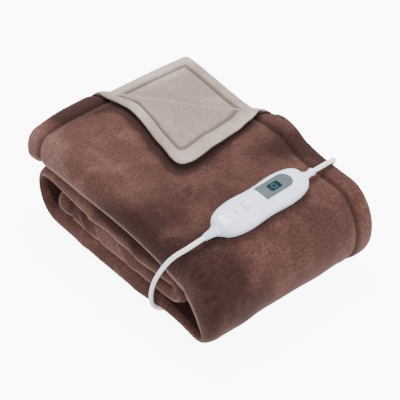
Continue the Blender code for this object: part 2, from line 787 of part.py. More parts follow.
def coil(mats):
    """the unseen length of the mains lead, coiled, with the tie that holds it"""
    place = stack_matrix() @ Matrix.Translation((*COIL_AT, COIL_Z))
    ring = ring_solid("mains_coil", COIL_RADIUS, COIL_HALF, COIL_HALF, mats["cord"])
    ring.matrix_world = place
    inner = COIL_HALF + TIE_ROOM
    count = 20
    rings = []
    for along, r in ((-1, inner), (-1, inner + TIE_THICK), (1, inner + TIE_THICK), (1, inner)):
        a = 2 * math.pi * np.arange(count) / count
        rings.append(np.column_stack([COIL_RADIUS + r * np.cos(a),
                                      np.full(count, along * TIE_WIDTH / 2), r * np.sin(a)]))
    verts = [tuple(p) for r in rings for p in r]
    faces = []
    for k in range(4):
        for i in range(count):
            j, m = (i + 1) % count, (k + 1) % 4
            faces.append((k * count + i, k * count + j, m * count + j, m * count + i))
    tie = add_object("coil_tie", verts, faces, mats["tie"])
    tie.matrix_world = place @ Matrix.Rotation(math.radians(TIE_ANGLE), 4, "Z")


def plug(mats):
    """flat plug with two round pins, narrow where the lead enters"""
    place = (stack_matrix() @ Matrix.Translation(PLUG_AT)
             @ Matrix.Rotation(math.radians(PLUG_TURN), 4, "Z"))
    rings = []
    for f, swell in PLUG_LEVELS:
        wide = PLUG_NECK / 2 + (PLUG_WIDTH - PLUG_NECK) / 2 * swell
        tall = PLUG_NECK / 2 + (PLUG_HEIGHT - PLUG_NECK) / 2 * swell
        corner = PLUG_CORNER * min(wide, tall)
        section = np.array(rounded_outline(2 * wide, 2 * tall, corner, 4))
        x = np.full(len(section), (f - 0.5) * PLUG_LENGTH)
        rings.append(np.column_stack([x, section]))
    verts, faces = loft(rings)
    body = add_object("plug_body", verts, faces, mats["white"])
    body.matrix_world = place
    for tag, side in (("1", -1), ("2", 1)):
        rings = []
        for x, r in PIN_LEVELS:
            a = 2 * math.pi * np.arange(12) / 12
            rings.append(np.column_stack([np.full(12, PLUG_LENGTH / 2 + x * MM),
                                          side * PIN_PITCH / 2 + r * PIN_RADIUS * np.cos(a),
                                          r * PIN_RADIUS * np.sin(a)]))
        verts, faces = loft(rings)
        pin = add_object("plug_pin_" + tag, verts, faces, mats["metal"])
        pin.matrix_world = place


def main():
    for obj in list(bpy.data.objects):
        bpy.data.objects.remove(obj, do_unlink=True)
    mats = {
        "dark_plush": material("dark_plush", (0.19, 0.088, 0.068), 0.95),
        "light_plush": material("light_plush", (0.50, 0.42, 0.37), 0.95),
        "white": material("white_plastic", (0.86, 0.88, 0.92), 0.28),
        "knob": material("knob_plastic", (0.90, 0.92, 0.95), 0.3),
        "grey": material("window_film", (0.33, 0.37, 0.40), 0.25),
        "dark": material("screen_glass", (0.012, 0.035, 0.04), 0.1),
        "cord": material("cord_sheath", (0.85, 0.86, 0.88), 0.4),
        "tie": material("tie_band", (0.80, 0.80, 0.80), 0.6),
        "metal": material("pin_metal", (0.75, 0.74, 0.72), 0.25, 1.0),
    }
    pattern = flat_pattern()
    cloth("blanket_outer", 1, mats["dark_plush"], pattern)
    cloth("blanket_lining", -1, mats["light_plush"], pattern)
    controller(mats)
    tube("blanket_lead", smooth_route(BLANKET_LEAD, SHORT_STEP), mats["cord"])
    tube("mains_lead", smooth_route(MAINS_LEAD, LONG_STEP), mats["cord"])
    coil(mats)
    tube("plug_tail", smooth_route(PLUG_TAIL, SHORT_STEP), mats["cord"])
    plug(mats)


main()
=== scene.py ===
import math

import bpy
import numpy as np
from mathutils import Matrix


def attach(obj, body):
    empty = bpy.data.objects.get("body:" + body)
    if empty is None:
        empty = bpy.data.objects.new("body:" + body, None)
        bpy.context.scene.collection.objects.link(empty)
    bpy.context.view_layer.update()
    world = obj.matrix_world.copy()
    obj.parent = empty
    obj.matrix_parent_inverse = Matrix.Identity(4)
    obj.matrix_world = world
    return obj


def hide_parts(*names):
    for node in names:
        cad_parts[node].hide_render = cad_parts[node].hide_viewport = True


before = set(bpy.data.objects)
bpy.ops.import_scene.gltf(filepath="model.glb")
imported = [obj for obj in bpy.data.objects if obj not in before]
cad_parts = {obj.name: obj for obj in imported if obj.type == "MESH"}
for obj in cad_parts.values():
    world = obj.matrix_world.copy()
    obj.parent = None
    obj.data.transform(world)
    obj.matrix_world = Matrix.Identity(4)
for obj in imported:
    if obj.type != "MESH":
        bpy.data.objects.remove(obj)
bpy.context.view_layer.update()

MM = 0.001

# ---------------------------------------------------------------- fold sizes
PLY_PITCH = 8.6 * MM
PLY_HALF = 3.3 * MM
CLOTH_GAP = 0.15 * MM
EDGE_HALF = 1.7 * MM
EDGE_ROUND = 7.0 * MM
STACK_WIDTH = 300 * MM
PANEL_GAP = 1.5 * MM
RIGHT_FOLD_X = 290 * MM
LEFT_FOLD_X = 1.5 * PLY_PITCH + PLY_HALF
TOP_BACK_Y = 402 * MM
FRONT_TURN_Y = 24 * MM
FRONT_REACH = 34 * MM
BACK_TURN_Y = 345 * MM
BACK_REACH = 28 * MM
INNER_TURN_Y = 74 * MM
INNER_REACH = 18 * MM
THIRD_END_Y = 335 * MM
BACK_SQUARE = 0.82               # how square the back turn is: 1 is an ellipse
# the plies' pitch at each strip station, as a share of PLY_PITCH
LOOSE = np.array([1.42, 1.10, 1.25, 1.25, 0.95, 0.95, 0.95, 0.95])
CREASE_BACK = (108 * MM, TOP_BACK_Y)
CREASE_RIGHT = (STACK_WIDTH, 179 * MM)
CREASE_RADIUS = 8.5 * MM         # cloth taken up by the bend, over pi
CREASE_TIGHT = 4.6 * MM          # radius of the pressed bend
CREASE_REST = 7.6 * MM
CREASE_SETTLE = 70 * MM
CREASE_PULL = (20 * MM, -56 * MM)
CORNER_RADIUS = (36 * MM, 9 * MM)        # turned-back corner, and the one below it
STACK_SHIFT = np.array([152, 190, 0]) * MM      # from the stack's corner to the part's origin
PLY_RUN = STACK_WIDTH - LEFT_FOLD_X             # flat lengths of the top ply
STRIP_RUN = TOP_BACK_Y - FRONT_TURN_Y
LIFT = 0.05 * MM                                # least height over the surface it lies on
SHARP_ANGLE = math.radians(40)

RISES = [
    # x    y    rx   ry   rise, all in millimetres
    (150, 330, 260, 190, 12.0),
    (150, 150, 220, 90, 7.0),
    (300, 165, 55, 46, 14.0),
    (300, 400, 70, 70, 2.0),
    (190, 402, 160, 45, 3.0),
    (40, 330, 60, 90, 3.0),
    (0, 402, 40, 36, -10.0),
    (200, 270, 60, 40, -2.5),
    (40, 110, 45, 40, -4.0),
]
RISE_FROM = 10 * MM
RISE_TO = 142 * MM
PUSHES = [
    # x    y    z    rx   ry   rz   dx   dy
    (300, 400, 150, 110, 120, 70, 10, 1),
    (0, 402, 138, 60, 60, 50, -1, 3),
    (150, 0, 10, 190, 45, 36, 0, 8),
    (0, 60, 120, 60, 60, 60, 3, 0),
    (0, 82, 10, 40, 45, 30, 5, 0),
    (0, 30, 60, 40, 40, 60, 5, 3),
    (0, 370, 60, 40, 60, 40, 1, 1),
    (190, 402, 150, 170, 50, 60, 0, 4.5),
    (302, 160, 158, 60, 46, 40, 5, 0),
    (300, 30, 60, 60, 60, 70, 4, 0),
]

# hem: a puffy band beside the sewn edge, with a stitched groove at its inner side
HEM_WIDTH = {1: 31 * MM, -1: 20.5 * MM}          # brown side, beige side
HEM_PUFF = {1: 1.9 * MM, -1: 1.7 * MM}
GROOVE_DEPTH = 2.9 * MM
GROOVE_HALF = {1: 4.8 * MM, -1: 3.0 * MM}
GROOVE_LIP = 0.6 * MM
LIP_AT = 9 * MM                  # from the groove, and its half width
LIP_HALF = 5 * MM
HEM_PRESSED = 0.2                # the hem's share of its puff where plies lie on it

# how the outer left fold leans: 1 is a long round shoulder with a sharp edge on the
# strip's inner side, -1 the same towards its outer side
LEAN = [
    # station, lean, reach beyond the round fold in millimetres
    (0.0, 1.0, 4.0),
    (1.6, 1.0, 3.5),
    (2.1, 0.2, 0.0),
    (2.6, -0.6, 2.0),
    (3.1, -0.6, 2.0),
    (3.9, 0.6, 5.0),
    (4.85, 0.6, 5.0),
    (5.2, 0.4, 3.0),
    (5.9, -0.6, 2.0),
    (6.3, -0.6, 0.5),
    (6.6, -0.6, 4.0),
    (7.0, -0.6, 3.0),
]
LEAN_DROP = 0.55                 # how far a full lean moves the widest point
LEAN_POWER = (0.8, 0.15, 0.32)   # the quarters' power, and what a lean adds and takes off
RIM_AT = 0.20                    # where on the sharp quarter the painted rim highlight lies
RIM_HALF = 0.032                 # its half width, as a share of the turn
BEND_RIM_AT = 2.55               # angle round the turned corner's bend of the painted crest highlight, and half width
BEND_RIM_HALF = 0.25
# the strip's inner side sinks or thins out there: the front left corner sinks into
# the open hollow behind the wrap, and the back turn thins round its hole
SAG_START = 2 * MM               # full up to this distance from the left fold
SAG_PRESS = 0.68                 # most that pressed cloth thins
SAG = [
    # station, x, y, z, reach, in millimetres
    (-0.05, 0, 0, -3, 22),
    (0.15, 0, 0, -7, 22),
    (0.30, 0, 0, -6, 22),
    (0.42, 0, 0, -3, 20),
    (0.55, 0, 0, -1, 16),
    (0.70, 0, 0, -2, 14),
    (0.80, -1, 0, -6, 14),
    (0.90, -4, 3, -17, 15),
    (1.00, -6, 12, -27, 24),
    (1.10, -6, 11, -32, 40),
    (1.20, -6, 9, -34, 55),
    (1.30, -6, 7, -33, 60),
    (1.40, -5, 5, -29, 60),
    (1.50, -4, 0, -25, 60),
    (1.60, -3, -7, -22, 60),
    (1.70, -2, -13, -20, 60),
    (1.80, 0, -18, -19, 60),
    (1.90, 0, -19, -21, 60),
    (2.00, 0, -13, -25, 60),
    (2.10, 0, -4, -25, 60),
    (2.20, 0, 0, -18, 50),
    (2.32, 0, 0, -6, 40),
    (2.45, 0, 0, 0, 30),
    (2.80, 0, 0, 0, 45),
    (2.95, 0, 0, -5, 45),
    (3.10, 0, 4, -11, 45),
    (3.30, 0, 17, -12, 45),
    (3.50, 0, 27, 0, 45),
    (3.70, 0, 19, 10, 45),
    (3.85, 0, 7, 9, 45),
    (4.00, 0, 1, 8, 45),
    (4.12, 0, 0, 4, 45),
    (4.28, 0, 0, 0, 45),
]
# the turned corner's edges are drawn out of straight: bell curves along each edge
DRAWN_LEFT = [
    # ply station, half width, move in x in millimetres
    (0.0, 0.13, -15),
    (0.38, 0.14, 11),
]
DRAWN_RIGHT = [
    # strip station, half width, move in y in millimetres
    (0.0, 0.05, -5),
    (0.30, 0.17, -3.4),
    (0.50, 0.07, -6.5),
]
DRAWN_FADE = 75 * MM
DRAWN_START = 18 * MM            # past the bend, where the drawing is in full
FLAT_UNDER = 2 * MM              # below this the stack lies flat

# soft creases, listed by the direction in which the cloth moves: a line in the
# stack, its half width, and its depth (a trough is negative), all in millimetres
CREASES = {
    # x0   y0   z0    x1   y1   z1   half  move
    (0, 0, 1): [
        (14, 300, 150, 120, 250, 150, 20, -1.6),
        (30, 210, 146, 150, 180, 150, 24, -2.2),
        (60, 150, 146, 120, 90, 146, 22, -1.8),
        (120, 330, 158, 170, 250, 156, 18, 1.5),
        (170, 210, 154, 250, 150, 152, 20, 1.4),
        (210, 120, 150, 285, 112, 152, 16, -1.6),
        (255, 150, 156, 300, 190, 160, 9, -2.4),
        (150, 330, 170, 118, 330, 170, 16, 2.2),
        (160, 262, 168, 112, 250, 168, 14, -1.4),
        (180, 225, 168, 172, 176, 168, 14, 1.8),
        (236, 220, 168, 232, 180, 168, 12, -1.6),
        (262, 110, 150, 304, 122, 152, 8, -1.8),
    ],
    (0, -1, 0): [
        (30, -8, 110, 60, -12, 40, 20, 2.0),
        (110, -10, 118, 100, -12, 50, 24, -2.0),
        (190, -10, 120, 200, -12, 44, 22, 2.0),
        (262, -6, 116, 250, -8, 40, 20, -1.8),
    ],
    (-1, 0, 0): [
        (-2, 150, 96, -2, 120, 70, 9, 2.4),
        (-2, 182, 74, -2, 160, 52, 8, 2.6),
        (-2, 215, 92, -2, 196, 70, 9, -0.8),
        (-2, 268, 100, -2, 240, 84, 12, 2.0),
        (-2, 262, 76, -2, 234, 52, 7, -3.4),
        (-4, 250, 80, -4, 222, 54, 4, 2.4),
        (-4, 280, 72, -4, 258, 54, 5, 2.4),
        (-2, 302, 76, -2, 282, 58, 6, -2.4),
        (-2, 120, 22, -2, 150, 12, 12, 2.0),
        (-2, 230, 30, -2, 210, 14, 12, -0.8),
        (-2, 300, 28, -2, 280, 12, 12, 1.8),
    ],
}

# painted light and shade with the pile's lay: bell curves where 1 shows a painted highlight or
# the pile's pale side, and -1 painted shade or its dark side
PAINTED_LIGHT_SHADE_AND_NAP = {
    # x    y    z    rx   ry   rz   amount, sizes in millimetres
    1: [
        (-6, 352, 150, 30, 34, 30, 0.50),
        (12, 400, 146, 22, 14, 30, 0.30),
        (40, 290, 158, 45, 60, 30, 0.12),
        (82, 394, 158, 42, 24, 30, -1.2),
        (120, 372, 164, 30, 26, 30, -0.5),
        (40, 170, 155, 60, 40, 30, -0.05),
        (95, 130, 155, 70, 26, 30, -0.18),
        (128, 176, 158, 60, 16, 30, -0.20),
        (2, 150, 134, 22, 40, 20, -0.25),
        (-3, 200, 112, 20, 46, 16, -0.80),
        (24, 124, 150, 30, 30, 26, -0.30),
        (-3, 110, 118, 24, 50, 24, -0.40),
        (180, 140, 155, 90, 26, 30, -0.12),
        (265, 128, 155, 40, 30, 30, -0.35),
        (292, 92, 150, 22, 60, 30, -0.35),
        (240, 60, 155, 30, 40, 30, 0.10),
        (10, 30, 120, 60, 40, 60, -0.38),
        (30, 70, 150, 40, 34, 30, -0.30),
        (-3, 128, 118, 30, 60, 26, -0.30),
        (-3, 275, 132, 30, 30, 20, 0.15),
        (-3, 214, 62, 30, 46, 26, 0.35),
        (-3, 290, 60, 30, 40, 20, -0.30),
        (150, -8, 90, 80, 30, 50, -0.04),
        (60, -8, 60, 66, 30, 60, -0.38),
        (30, -8, 100, 34, 30, 60, -0.34),
        (205, 14, 140, 80, 34, 30, -0.14),
        (200, -8, 50, 60, 30, 40, -0.08),
        (262, -8, 60, 60, 30, 60, -0.10),
        (140, -8, 20, 110, 30, 20, 0.06),
    ],
    -1: [
        (290, 395, 156, 60, 20, 30, 0.55),
        (210, 404, 156, 60, 16, 30, 0.30),
        (120, 190, 170, 26, 26, 30, 0.35),
        (255, 190, 170, 50, 12, 30, 0.30),
        (250, 300, 160, 60, 50, 20, -0.15),
    ],
}
HEM_PALE = 0.22                  # the beige hem's pile
HOLLOW_PAINTED_SHADE = 1.0                # painted shade on the pile inside the hollows, between these stations
HOLLOW_SPAN = (1.88, 2.85)
# painted shadow beside the turned corner's left and right edge: how dark, and how wide
EDGE_SHADE = [(1.15, 11 * MM), (0.85, 6.5 * MM)]
EDGE_END = 0.62                  # station up to which both edges are shaded

# ---------------------------------------------------------------- controller
BODY_LENGTH = 168 * MM
BODY_HALF_WIDTH = 28.5 * MM
BODY_WAIST = 2.7 * MM
BODY_HALF_HEIGHT = 13 * MM
END_POWER = 0.55
SIDE_POWER = 0.62
WAIST_SPAN = 0.55
BODY_AT = (151 * MM, 53 * MM, 158.3 * MM)
BODY_TURN = 2.0                  # degrees about Z and X
BODY_TILT = 5.0
# the housing's section: height and inset in millimetres, up and down from the joint
UPPER_LEVELS = [(-1, 0), (1, 0.05), (3, 0.3), (5, 0.8), (7, 1.6), (8.6, 2.7), (10, 4.2),
                (11.2, 6.1), (12.1, 8.5), (12.7, 11.4), (13, 14.5)]
LOWER_LEVELS = [(-1.3, 0), (-3, 0.15), (-5, 0.6), (-7, 1.4), (-9, 2.6), (-10.7, 4.6),
                (-12, 7), (-13, 12)]
TOP_CROWN = 0.35 * MM
UNDER_CROWN = 0.2 * MM
BODY_TOP = BODY_HALF_HEIGHT + 0.2 * MM
WINDOW_X = (1 * MM, 59 * MM)
WINDOW_Y = 2.5 * MM
WINDOW_HALF = 14 * MM
SCREEN_SIZE = (21 * MM, 14 * MM)
SCREEN_X = 27.5 * MM
SCREEN_CORNER = 3 * MM
FILM_RISE = 0.2 * MM
SLOT_X = -27 * MM
SLOT_SIZE = (50 * MM, 17 * MM)
SLOT_DEPTH = 2.0 * MM            # in the solid
SLOT_FLOOR = 0.85 * SLOT_DEPTH   # in the skin
KNOB_SIZE = (15 * MM, 11 * MM, 4.2 * MM)
FIGURE_BARS = [
    # x, y, length, width in millimetres: the bars of a lit number
    (0.0, 3.7, 5.6, 1.6),
    (0.0, -3.7, 5.6, 1.6),
    (3.2, 1.9, 1.6, 3.0),
    (3.2, -1.9, 1.6, 3.0),
    (-3.2, 1.9, 1.6, 3.0),
    (-3.2, -1.9, 1.6, 3.0),
]
# a small printed stroke with a foot on the hollow's floor, past the knob's reach
END_MARK = [(-49.0, 0.3, 1.3, 4.6), (-49.0, -2.6, 3.4, 1.2)]
RELIEF_SEAT = 79 * MM
RELIEF_TIP = 106 * MM
RELIEF_WIDE = (9.0 * MM, 5.0 * MM)
RELIEF_TALL = (6.6 * MM, 4.9 * MM)
RELIEF_Z = -2.5 * MM
RELIEF_FLARE = 4.6 * MM
RELIEF_SIDES = 40

# ---------------------------------------------------------------- leads
CORD_R = 3.5 * MM
CORD_SIDES = 20
BLANKET_LEAD = [
    # x   y   z, in millimetres
    (44.7, 49.5, 155.8),
    (34, 49.2, 155.4),
    (22.5, 50.3, 153.0),
    (12, 53.5, 148.4),
    (3.2, 59.2, 141.0),
    (-2.2, 67.5, 128.0),
    (-3.6, 78, 110.0),
    (-3.4, 90, 88.0),
    (-3.2, 101, 64.0),
    (-3.2, 108, 42.0),
    (-3.2, 110, 26.0),
    (-2.5, 109, 14.0),
    (1.8, 105, 6.4),
    (9.0, 98.5, 4.6),
]
MAINS_LEAD = [
    # x   y    z, in millimetres
    (257.4, 56.9, 155.8),
    (267, 57.2, 155.4),
    (279, 57.8, 154.8),
    (291, 59.0, 153.4),
    (303, 62.4, 149.0),
    (309.5, 69.5, 136.5),
    (310, 80, 116.0),
    (309.5, 93, 94.0),
    (309, 109, 68.0),
    (308.5, 129, 40.0),
    (308, 154, 17.0),
    (307.5, 184, 5.6),
    (307, 220, 3.8),
    (306.5, 280, 3.8),
    (307, 340, 3.8),
    (308, 385, 3.8),
    (303, 416, 3.8),
    (288, 442, 3.8),
    (273.9, 465.5, 3.8),
    (259.9, 489.3, 3.8),
]
COIL_AT = (216 * MM, 464 * MM)
COIL_TURNS = [
    # degrees round the coil, radius in mm, height in mm
    (30, 50.7, 3.8),
    (770, 36.1, 3.8),
    (800, 35.5, 3.9),
    (850, 34.9, 7.0),
    (900, 35.4, 9.8),
    (960, 37.3, 10.9),
    (1590, 50.7, 10.9),
]
COIL_STEP = 6                    # degrees between two points of a turn
TIE_ANGLE = 80
TIE_SIZE = (7 * MM, 1.1 * MM)    # the band's width and thickness
TIE_GAP = 0.15 * MM              # between the cords and the band
PLUG_TAIL = [
    # x   y    z, in millimetres
    (172.2, 489.2, 10.9),
    (164.6, 477.0, 10.2),
    (157, 465.2, 8.3),
    (150.5, 454, 7.0),
]

# ---------------------------------------------------------------- finishes and studio
BROWN_TONES = [(0.028, 0.011, 0.009), (0.081, 0.0355, 0.0285), (0.147, 0.078, 0.066)]
BEIGE_TONES = [(0.205, 0.145, 0.120), (0.292, 0.214, 0.184), (0.43, 0.345, 0.310)]
MOULDED = {
    # name, colour, roughness, coat, grain height, grain size, metallic, specular level
    "housing": ("housing_white", (0.78, 0.85, 0.99), 0.26, 0.5),
    "window": ("window_grey", (0.092, 0.110, 0.125), 0.26, 0.0, 0.00001, 0.0006, 0.0, 0.10),
    "screen": ("screen_dark", (0.006, 0.021, 0.028), 0.26, 0.0, 0.0, 0.0006, 0.0, 0.05),
    "figure": ("figure_teal", (0.030, 0.085, 0.105), 0.3, 0.0, 0.00002, 0.0006, 0.0, 0.14),
    "mark": ("mark_grey", (0.30, 0.31, 0.34), 0.4),
    "knob": ("knob_white", (0.84, 0.89, 0.99), 0.3, 0.3),
    "lead": ("lead_white", (0.96, 0.92, 0.95), 0.42, 0.15, 0.00003, 0.0012),
    "plug": ("plug_white", (0.84, 0.86, 0.90), 0.36, 0.1, 0.00004),
    "tie": ("tie_grey", (0.62, 0.63, 0.64), 0.6, 0.0, 0.0002, 0.0008),
    "pin": ("pin_metal", (0.76, 0.75, 0.73), 0.24, 0.0, 0.00001, 0.0006, 1.0),
}
CAMERA_AT = (-1.017, -1.212, 1.446)
CAMERA_TURN = (49.0, 0, -40.1)   # degrees
CAMERA_LENS = 126
LAMP_AIM = (0, 0, 0.1)
LAMPS = [
    # name, place, size, power
    ("key", (0.5, 0.8, 2.5), 1.1, 76),
    ("front", (0.9, -2.2, 1.3), 1.5, 52),
    ("left", (-2.2, -0.4, 1.2), 1.5, 16),
]
SKY_LIGHT = 1.25
SKY_SEEN = 7.0                   # times brighter where it is seen
FLOOR_HALF = 6
FLOOR_GLOW = 8.0


# ================================================================ fold map
def smooth(t):
    """eased step from 0 to 1: 3t^2 - 2t^3 of the clipped value"""
    t = np.clip(t, 0.0, 1.0)
    return t * t * (3 - 2 * t)


def bell(x, half):
    """bell curve: e to the power of -(x / half)^2"""
    return np.exp(-(x / half) ** 2)


def blob(p, centre, radii):
    """bell curve round a point, with a radius along each axis, in millimetres"""
    far = sum(((p[:, i] / MM - c) / r) ** 2 for i, (c, r) in enumerate(zip(centre, radii)))
    return np.exp(-far)


def path_length(lines):
    """length along a path up to each of its points, from its coordinates' rows"""
    return np.concatenate([[0], np.cumsum(np.linalg.norm(np.diff(lines, axis=1), axis=0))])


def half_panel(loose):
    """half the height of a panel whose plies lie this loosely"""
    return 1.5 * PLY_PITCH * loose + PLY_HALF


def folded_path(t, runs, turns):
    """Points and normals of a folded path at stations 0 to 7: straight runs after the
    even stations, half ovals after the odd ones.  A half oval goes along as
    reach sin^q a and down as half cos^q a, a from 0 to pi, with q less than 1 for a
    squarer fold.  Gives the whole and the broken part of the station too."""
    k = np.minimum(np.floor(t), 6).astype(int)
    f = np.clip(t - k, 0, 1)
    along, level, n_along, n_level = (np.zeros_like(t) for _ in range(4))
    for station, (start, end, height) in zip((0, 2, 4, 6), runs):
        m = k == station
        along[m] = start + (end - start) * f[m]
        level[m] = height
        n_level[m] = 1.0 if start > end else -1.0
    for station, (at, before, after, reach, way, face, q) in zip((1, 3, 5), turns):
        m = k == station
        c, s = np.cos(math.pi * f[m]), np.sin(math.pi * f[m])
        half = (before - after) / 2
        along[m] = at + way * reach * np.maximum(s, 0) ** q
        level[m] = (before + after) / 2 + half * np.sign(c) * np.abs(c) ** q
        flat, up = way * abs(half) * s, reach * c * np.sign(half)
        size = np.hypot(flat, up)
        n_along[m], n_level[m] = face * flat / size, face * up / size
    return k, f, along, level, n_along, n_level


def panel_levels():
    """height of each panel's middle, bottom panel first, and the top's underside"""
    bottom, inner = half_panel(LOOSE[2]), half_panel(LOOSE[4])
    third = 2 * bottom + PANEL_GAP + inner
    second = third + 2 * inner + PANEL_GAP
    return bottom, third, second, second + inner + PANEL_GAP


def panel_at(t):
    """The strip's middle line at stations 0 to 7: top run, front wrap, bottom run,
    back turn, second run, inner turn, third run.  Gives y, z, the outward normal
    and how loosely the plies lie."""
    bottom, third, second, under_top = panel_levels()
    top_front = under_top + half_panel(LOOSE[1])
    k, f, y, z, ny, nz = folded_path(
        t, [
            # y start, y end, level
            (TOP_BACK_Y, FRONT_TURN_Y, under_top),
            (FRONT_TURN_Y, BACK_TURN_Y, bottom),
            (BACK_TURN_Y, INNER_TURN_Y, second),
            (INNER_TURN_Y, THIRD_END_Y, third),
        ], [
            # y, level before, level after, reach, side, dark face outside, squareness
            (FRONT_TURN_Y, top_front, bottom, FRONT_REACH, -1, 1, 1.0),
            (BACK_TURN_Y, bottom, second, BACK_REACH, 1, 1, BACK_SQUARE),
            (INNER_TURN_Y, second, third, INNER_REACH, -1, 1, 1.0),
        ])
    loose = LOOSE[k] + (LOOSE[k + 1] - LOOSE[k]) * smooth(f)
    z[k == 0] += half_panel(loose[k == 0])
    return y, z, ny, nz, loose


def eased_table(table, at):
    """values of a table at any station, its corners rounded by a short average"""
    rows = np.array(table, float)
    fine = np.arange(-0.2, 7.2, 0.01)
    window = np.hanning(17)
    window /= window.sum()
    out = []
    for c in range(1, rows.shape[1]):
        even = np.interp(fine, rows[:, 0], rows[:, c])
        out.append(np.interp(at, fine, np.convolve(np.pad(even, 8, "edge"), window, "valid")))
    return out


def lean_outline(f, lean):
    """Outer fold from its upper side (f = 0) to its lower side (1), as shares of its
    reach and half height: two quarter superellipses that meet at the widest point,
    which a lean moves down.  The long quarter is round, the short one is sharp."""
    a = np.abs(lean)
    g = np.where(lean < 0, 1 - f, f)
    drop = LEAN_DROP * a
    split = (1 + drop) / 2
    b = math.pi / 2 * np.clip(g / split, 0, 1)
    c = math.pi / 2 * np.clip((g - split) / (1 - split), 0, 1)
    power, add_long, less_short = LEAN_POWER
    q_long, q_short = power + add_long * a, power - less_short * a
    upper = g < split
    reach = np.where(upper, np.sin(b) ** q_long, np.maximum(np.cos(c), 0) ** q_short)
    level = np.where(upper, -drop + (1 + drop) * np.maximum(np.cos(b), 0) ** q_long,
                     -drop - (1 - drop) * np.sin(c) ** q_short)
    return reach, np.where(lean < 0, -level, level)


def ply_at(s, lean, out):
    """One strip's plies at stations 0 to 7: top ply from the right hem, left fold,
    bottom ply, right fold, second from the bottom, inner left fold, second ply to the
    right hem.  lean and out shape the outer left fold.  Gives x, the offset from the
    strip's middle and the dark face's normal."""
    top, low, mid_low, mid_top = (c * PLY_PITCH for c in (1.5, -1.5, -0.5, 0.5))
    k, f, x, off, nx, no = folded_path(
        s, [
            # x start, x end, offset
            (STACK_WIDTH, LEFT_FOLD_X, top),
            (LEFT_FOLD_X, RIGHT_FOLD_X, low),
            (RIGHT_FOLD_X, LEFT_FOLD_X, mid_low),
            (LEFT_FOLD_X, STACK_WIDTH, mid_top),
        ], [
            # x, offset before, offset after, reach, side, dark face outside, squareness
            (LEFT_FOLD_X, top, low, top, -1, 1, 1.0),
            (RIGHT_FOLD_X, low, mid_low, mid_top, 1, 1, 1.0),
            (LEFT_FOLD_X, mid_low, mid_top, mid_top, -1, -1, 1.0),
        ])
    m = k == 1
    reach, level = lean_outline(f[m], lean[m])
    ahead, behind = (lean_outline(np.clip(f[m] + step, 0, 1), lean[m]) for step in (0.01, -0.01))
    wide = top + out[m] * MM
    along_x, along_o = (ahead[0] - behind[0]) * wide, (ahead[1] - behind[1]) * top
    size = np.hypot(along_x, along_o)
    x[m], off[m] = LEFT_FOLD_X - wide * reach, top * level
    nx[m], no[m] = along_o / size, along_x / size
    return x, off, nx, no


def sag(t, x, tall, half, w, ny, nz):
    """The front left corner sinks: each point moves by the table's amount times its
    depth under the strip's outer side and a bell curve of x.  Where that presses the
    plies together, the cloth gets thinner."""
    dx, dy, dz, reach = (c * MM for c in eased_table(SAG, t))
    near = bell(np.maximum(x - SAG_START, 0), reach)
    depth = np.clip((half - tall) / (2 * half), 0, 1) ** np.where(t < 1, 1.5, 1.0)
    press = np.clip((dy * ny + dz * nz) / (2 * half), 0, SAG_PRESS) * near
    share = near * depth
    return dx * share, dy * share, dz * share, w * (1 - press)


def round_corner(x, y, radius):
    """Rounds the sheet's sewn corner: within a square of this size at the corner,
    square rings about its inner point become round ones."""
    vx = np.maximum(x - (STACK_WIDTH - radius), 0)
    vy = np.maximum(y - (TOP_BACK_Y - radius), 0)
    both = (vx > 0) & (vy > 0)
    share = np.where(both, np.maximum(vx, vy) / np.maximum(np.hypot(vx, vy), 1e-9), 1.0)
    return x - vx * (1 - share), y - vy * (1 - share)


def drawn_edges(s, t, past):
    """how far the turned corner's two edges are drawn sideways, faded inwards"""
    loose = smooth(past / DRAWN_START)
    dx = sum(move * MM * bell(s - at, half) for at, half, move in DRAWN_LEFT)
    dy = sum(move * MM * bell(t - at, half) for at, half, move in DRAWN_RIGHT)
    return (dx * bell(t * STRIP_RUN, DRAWN_FADE) * loose,
            dy * bell(s * PLY_RUN, DRAWN_FADE) * loose)


def crease_frame():
    """start of the crease, and the unit vector across it towards the corner"""
    start = np.array(CREASE_BACK)
    along = np.array(CREASE_RIGHT) - start
    along /= np.linalg.norm(along)
    return start, np.array([-along[1], along[0]])


def past_crease(x, y):
    """distance across the crease towards the corner, negative short of it"""
    start, across = crease_frame()
    return (x - start[0]) * across[0] + (y - start[1]) * across[1]


def turn_corner(x, y):
    """The top ply past the crease goes up and back in a half circle of radius
    CREASE_TIGHT, then sinks on to the ply below over CREASE_SETTLE, drawn askew in
    step with the distance past the bend.  Gives x, y, rise, the dark face's normal,
    the angle round the bend and the distance past it."""
    across = crease_frame()[1]
    s = past_crease(x, y)
    bend = math.pi * CREASE_RADIUS
    a = np.clip(s / CREASE_RADIUS, 0, math.pi)
    past = np.maximum(s - bend, 0)
    reach = np.where(s > 0, CREASE_TIGHT * np.sin(a) - past, s)
    rise = CREASE_TIGHT * (1 - np.cos(a))
    rise = rise + (CREASE_REST - 2 * CREASE_TIGHT) * smooth(past / CREASE_SETTLE)
    pull = past / (past_crease(STACK_WIDTH, TOP_BACK_Y) - bend)
    px = x + (reach - s) * across[0] + CREASE_PULL[0] * pull
    py = y + (reach - s) * across[1] + CREASE_PULL[1] * pull
    n_across = -np.sin(a)
    return px, py, rise, n_across * across[0], n_across * across[1], np.cos(a), a, past


def warp(p):
    """the soft unevenness of the whole stack: each rise and push is a bell curve"""
    moved = p.copy()
    grow = smooth((p[:, 2] - RISE_FROM) / (RISE_TO - RISE_FROM))
    for x, y, rx, ry, rise in RISES:
        moved[:, 2] += rise * MM * grow * blob(p, (x, y), (rx, ry))
    for x, y, z, rx, ry, rz, dx, dy in PUSHES:
        near = blob(p, (x, y, z), (rx, ry, rz))
        moved[:, 0] += dx * MM * near
        moved[:, 1] += dy * MM * near
    return moved


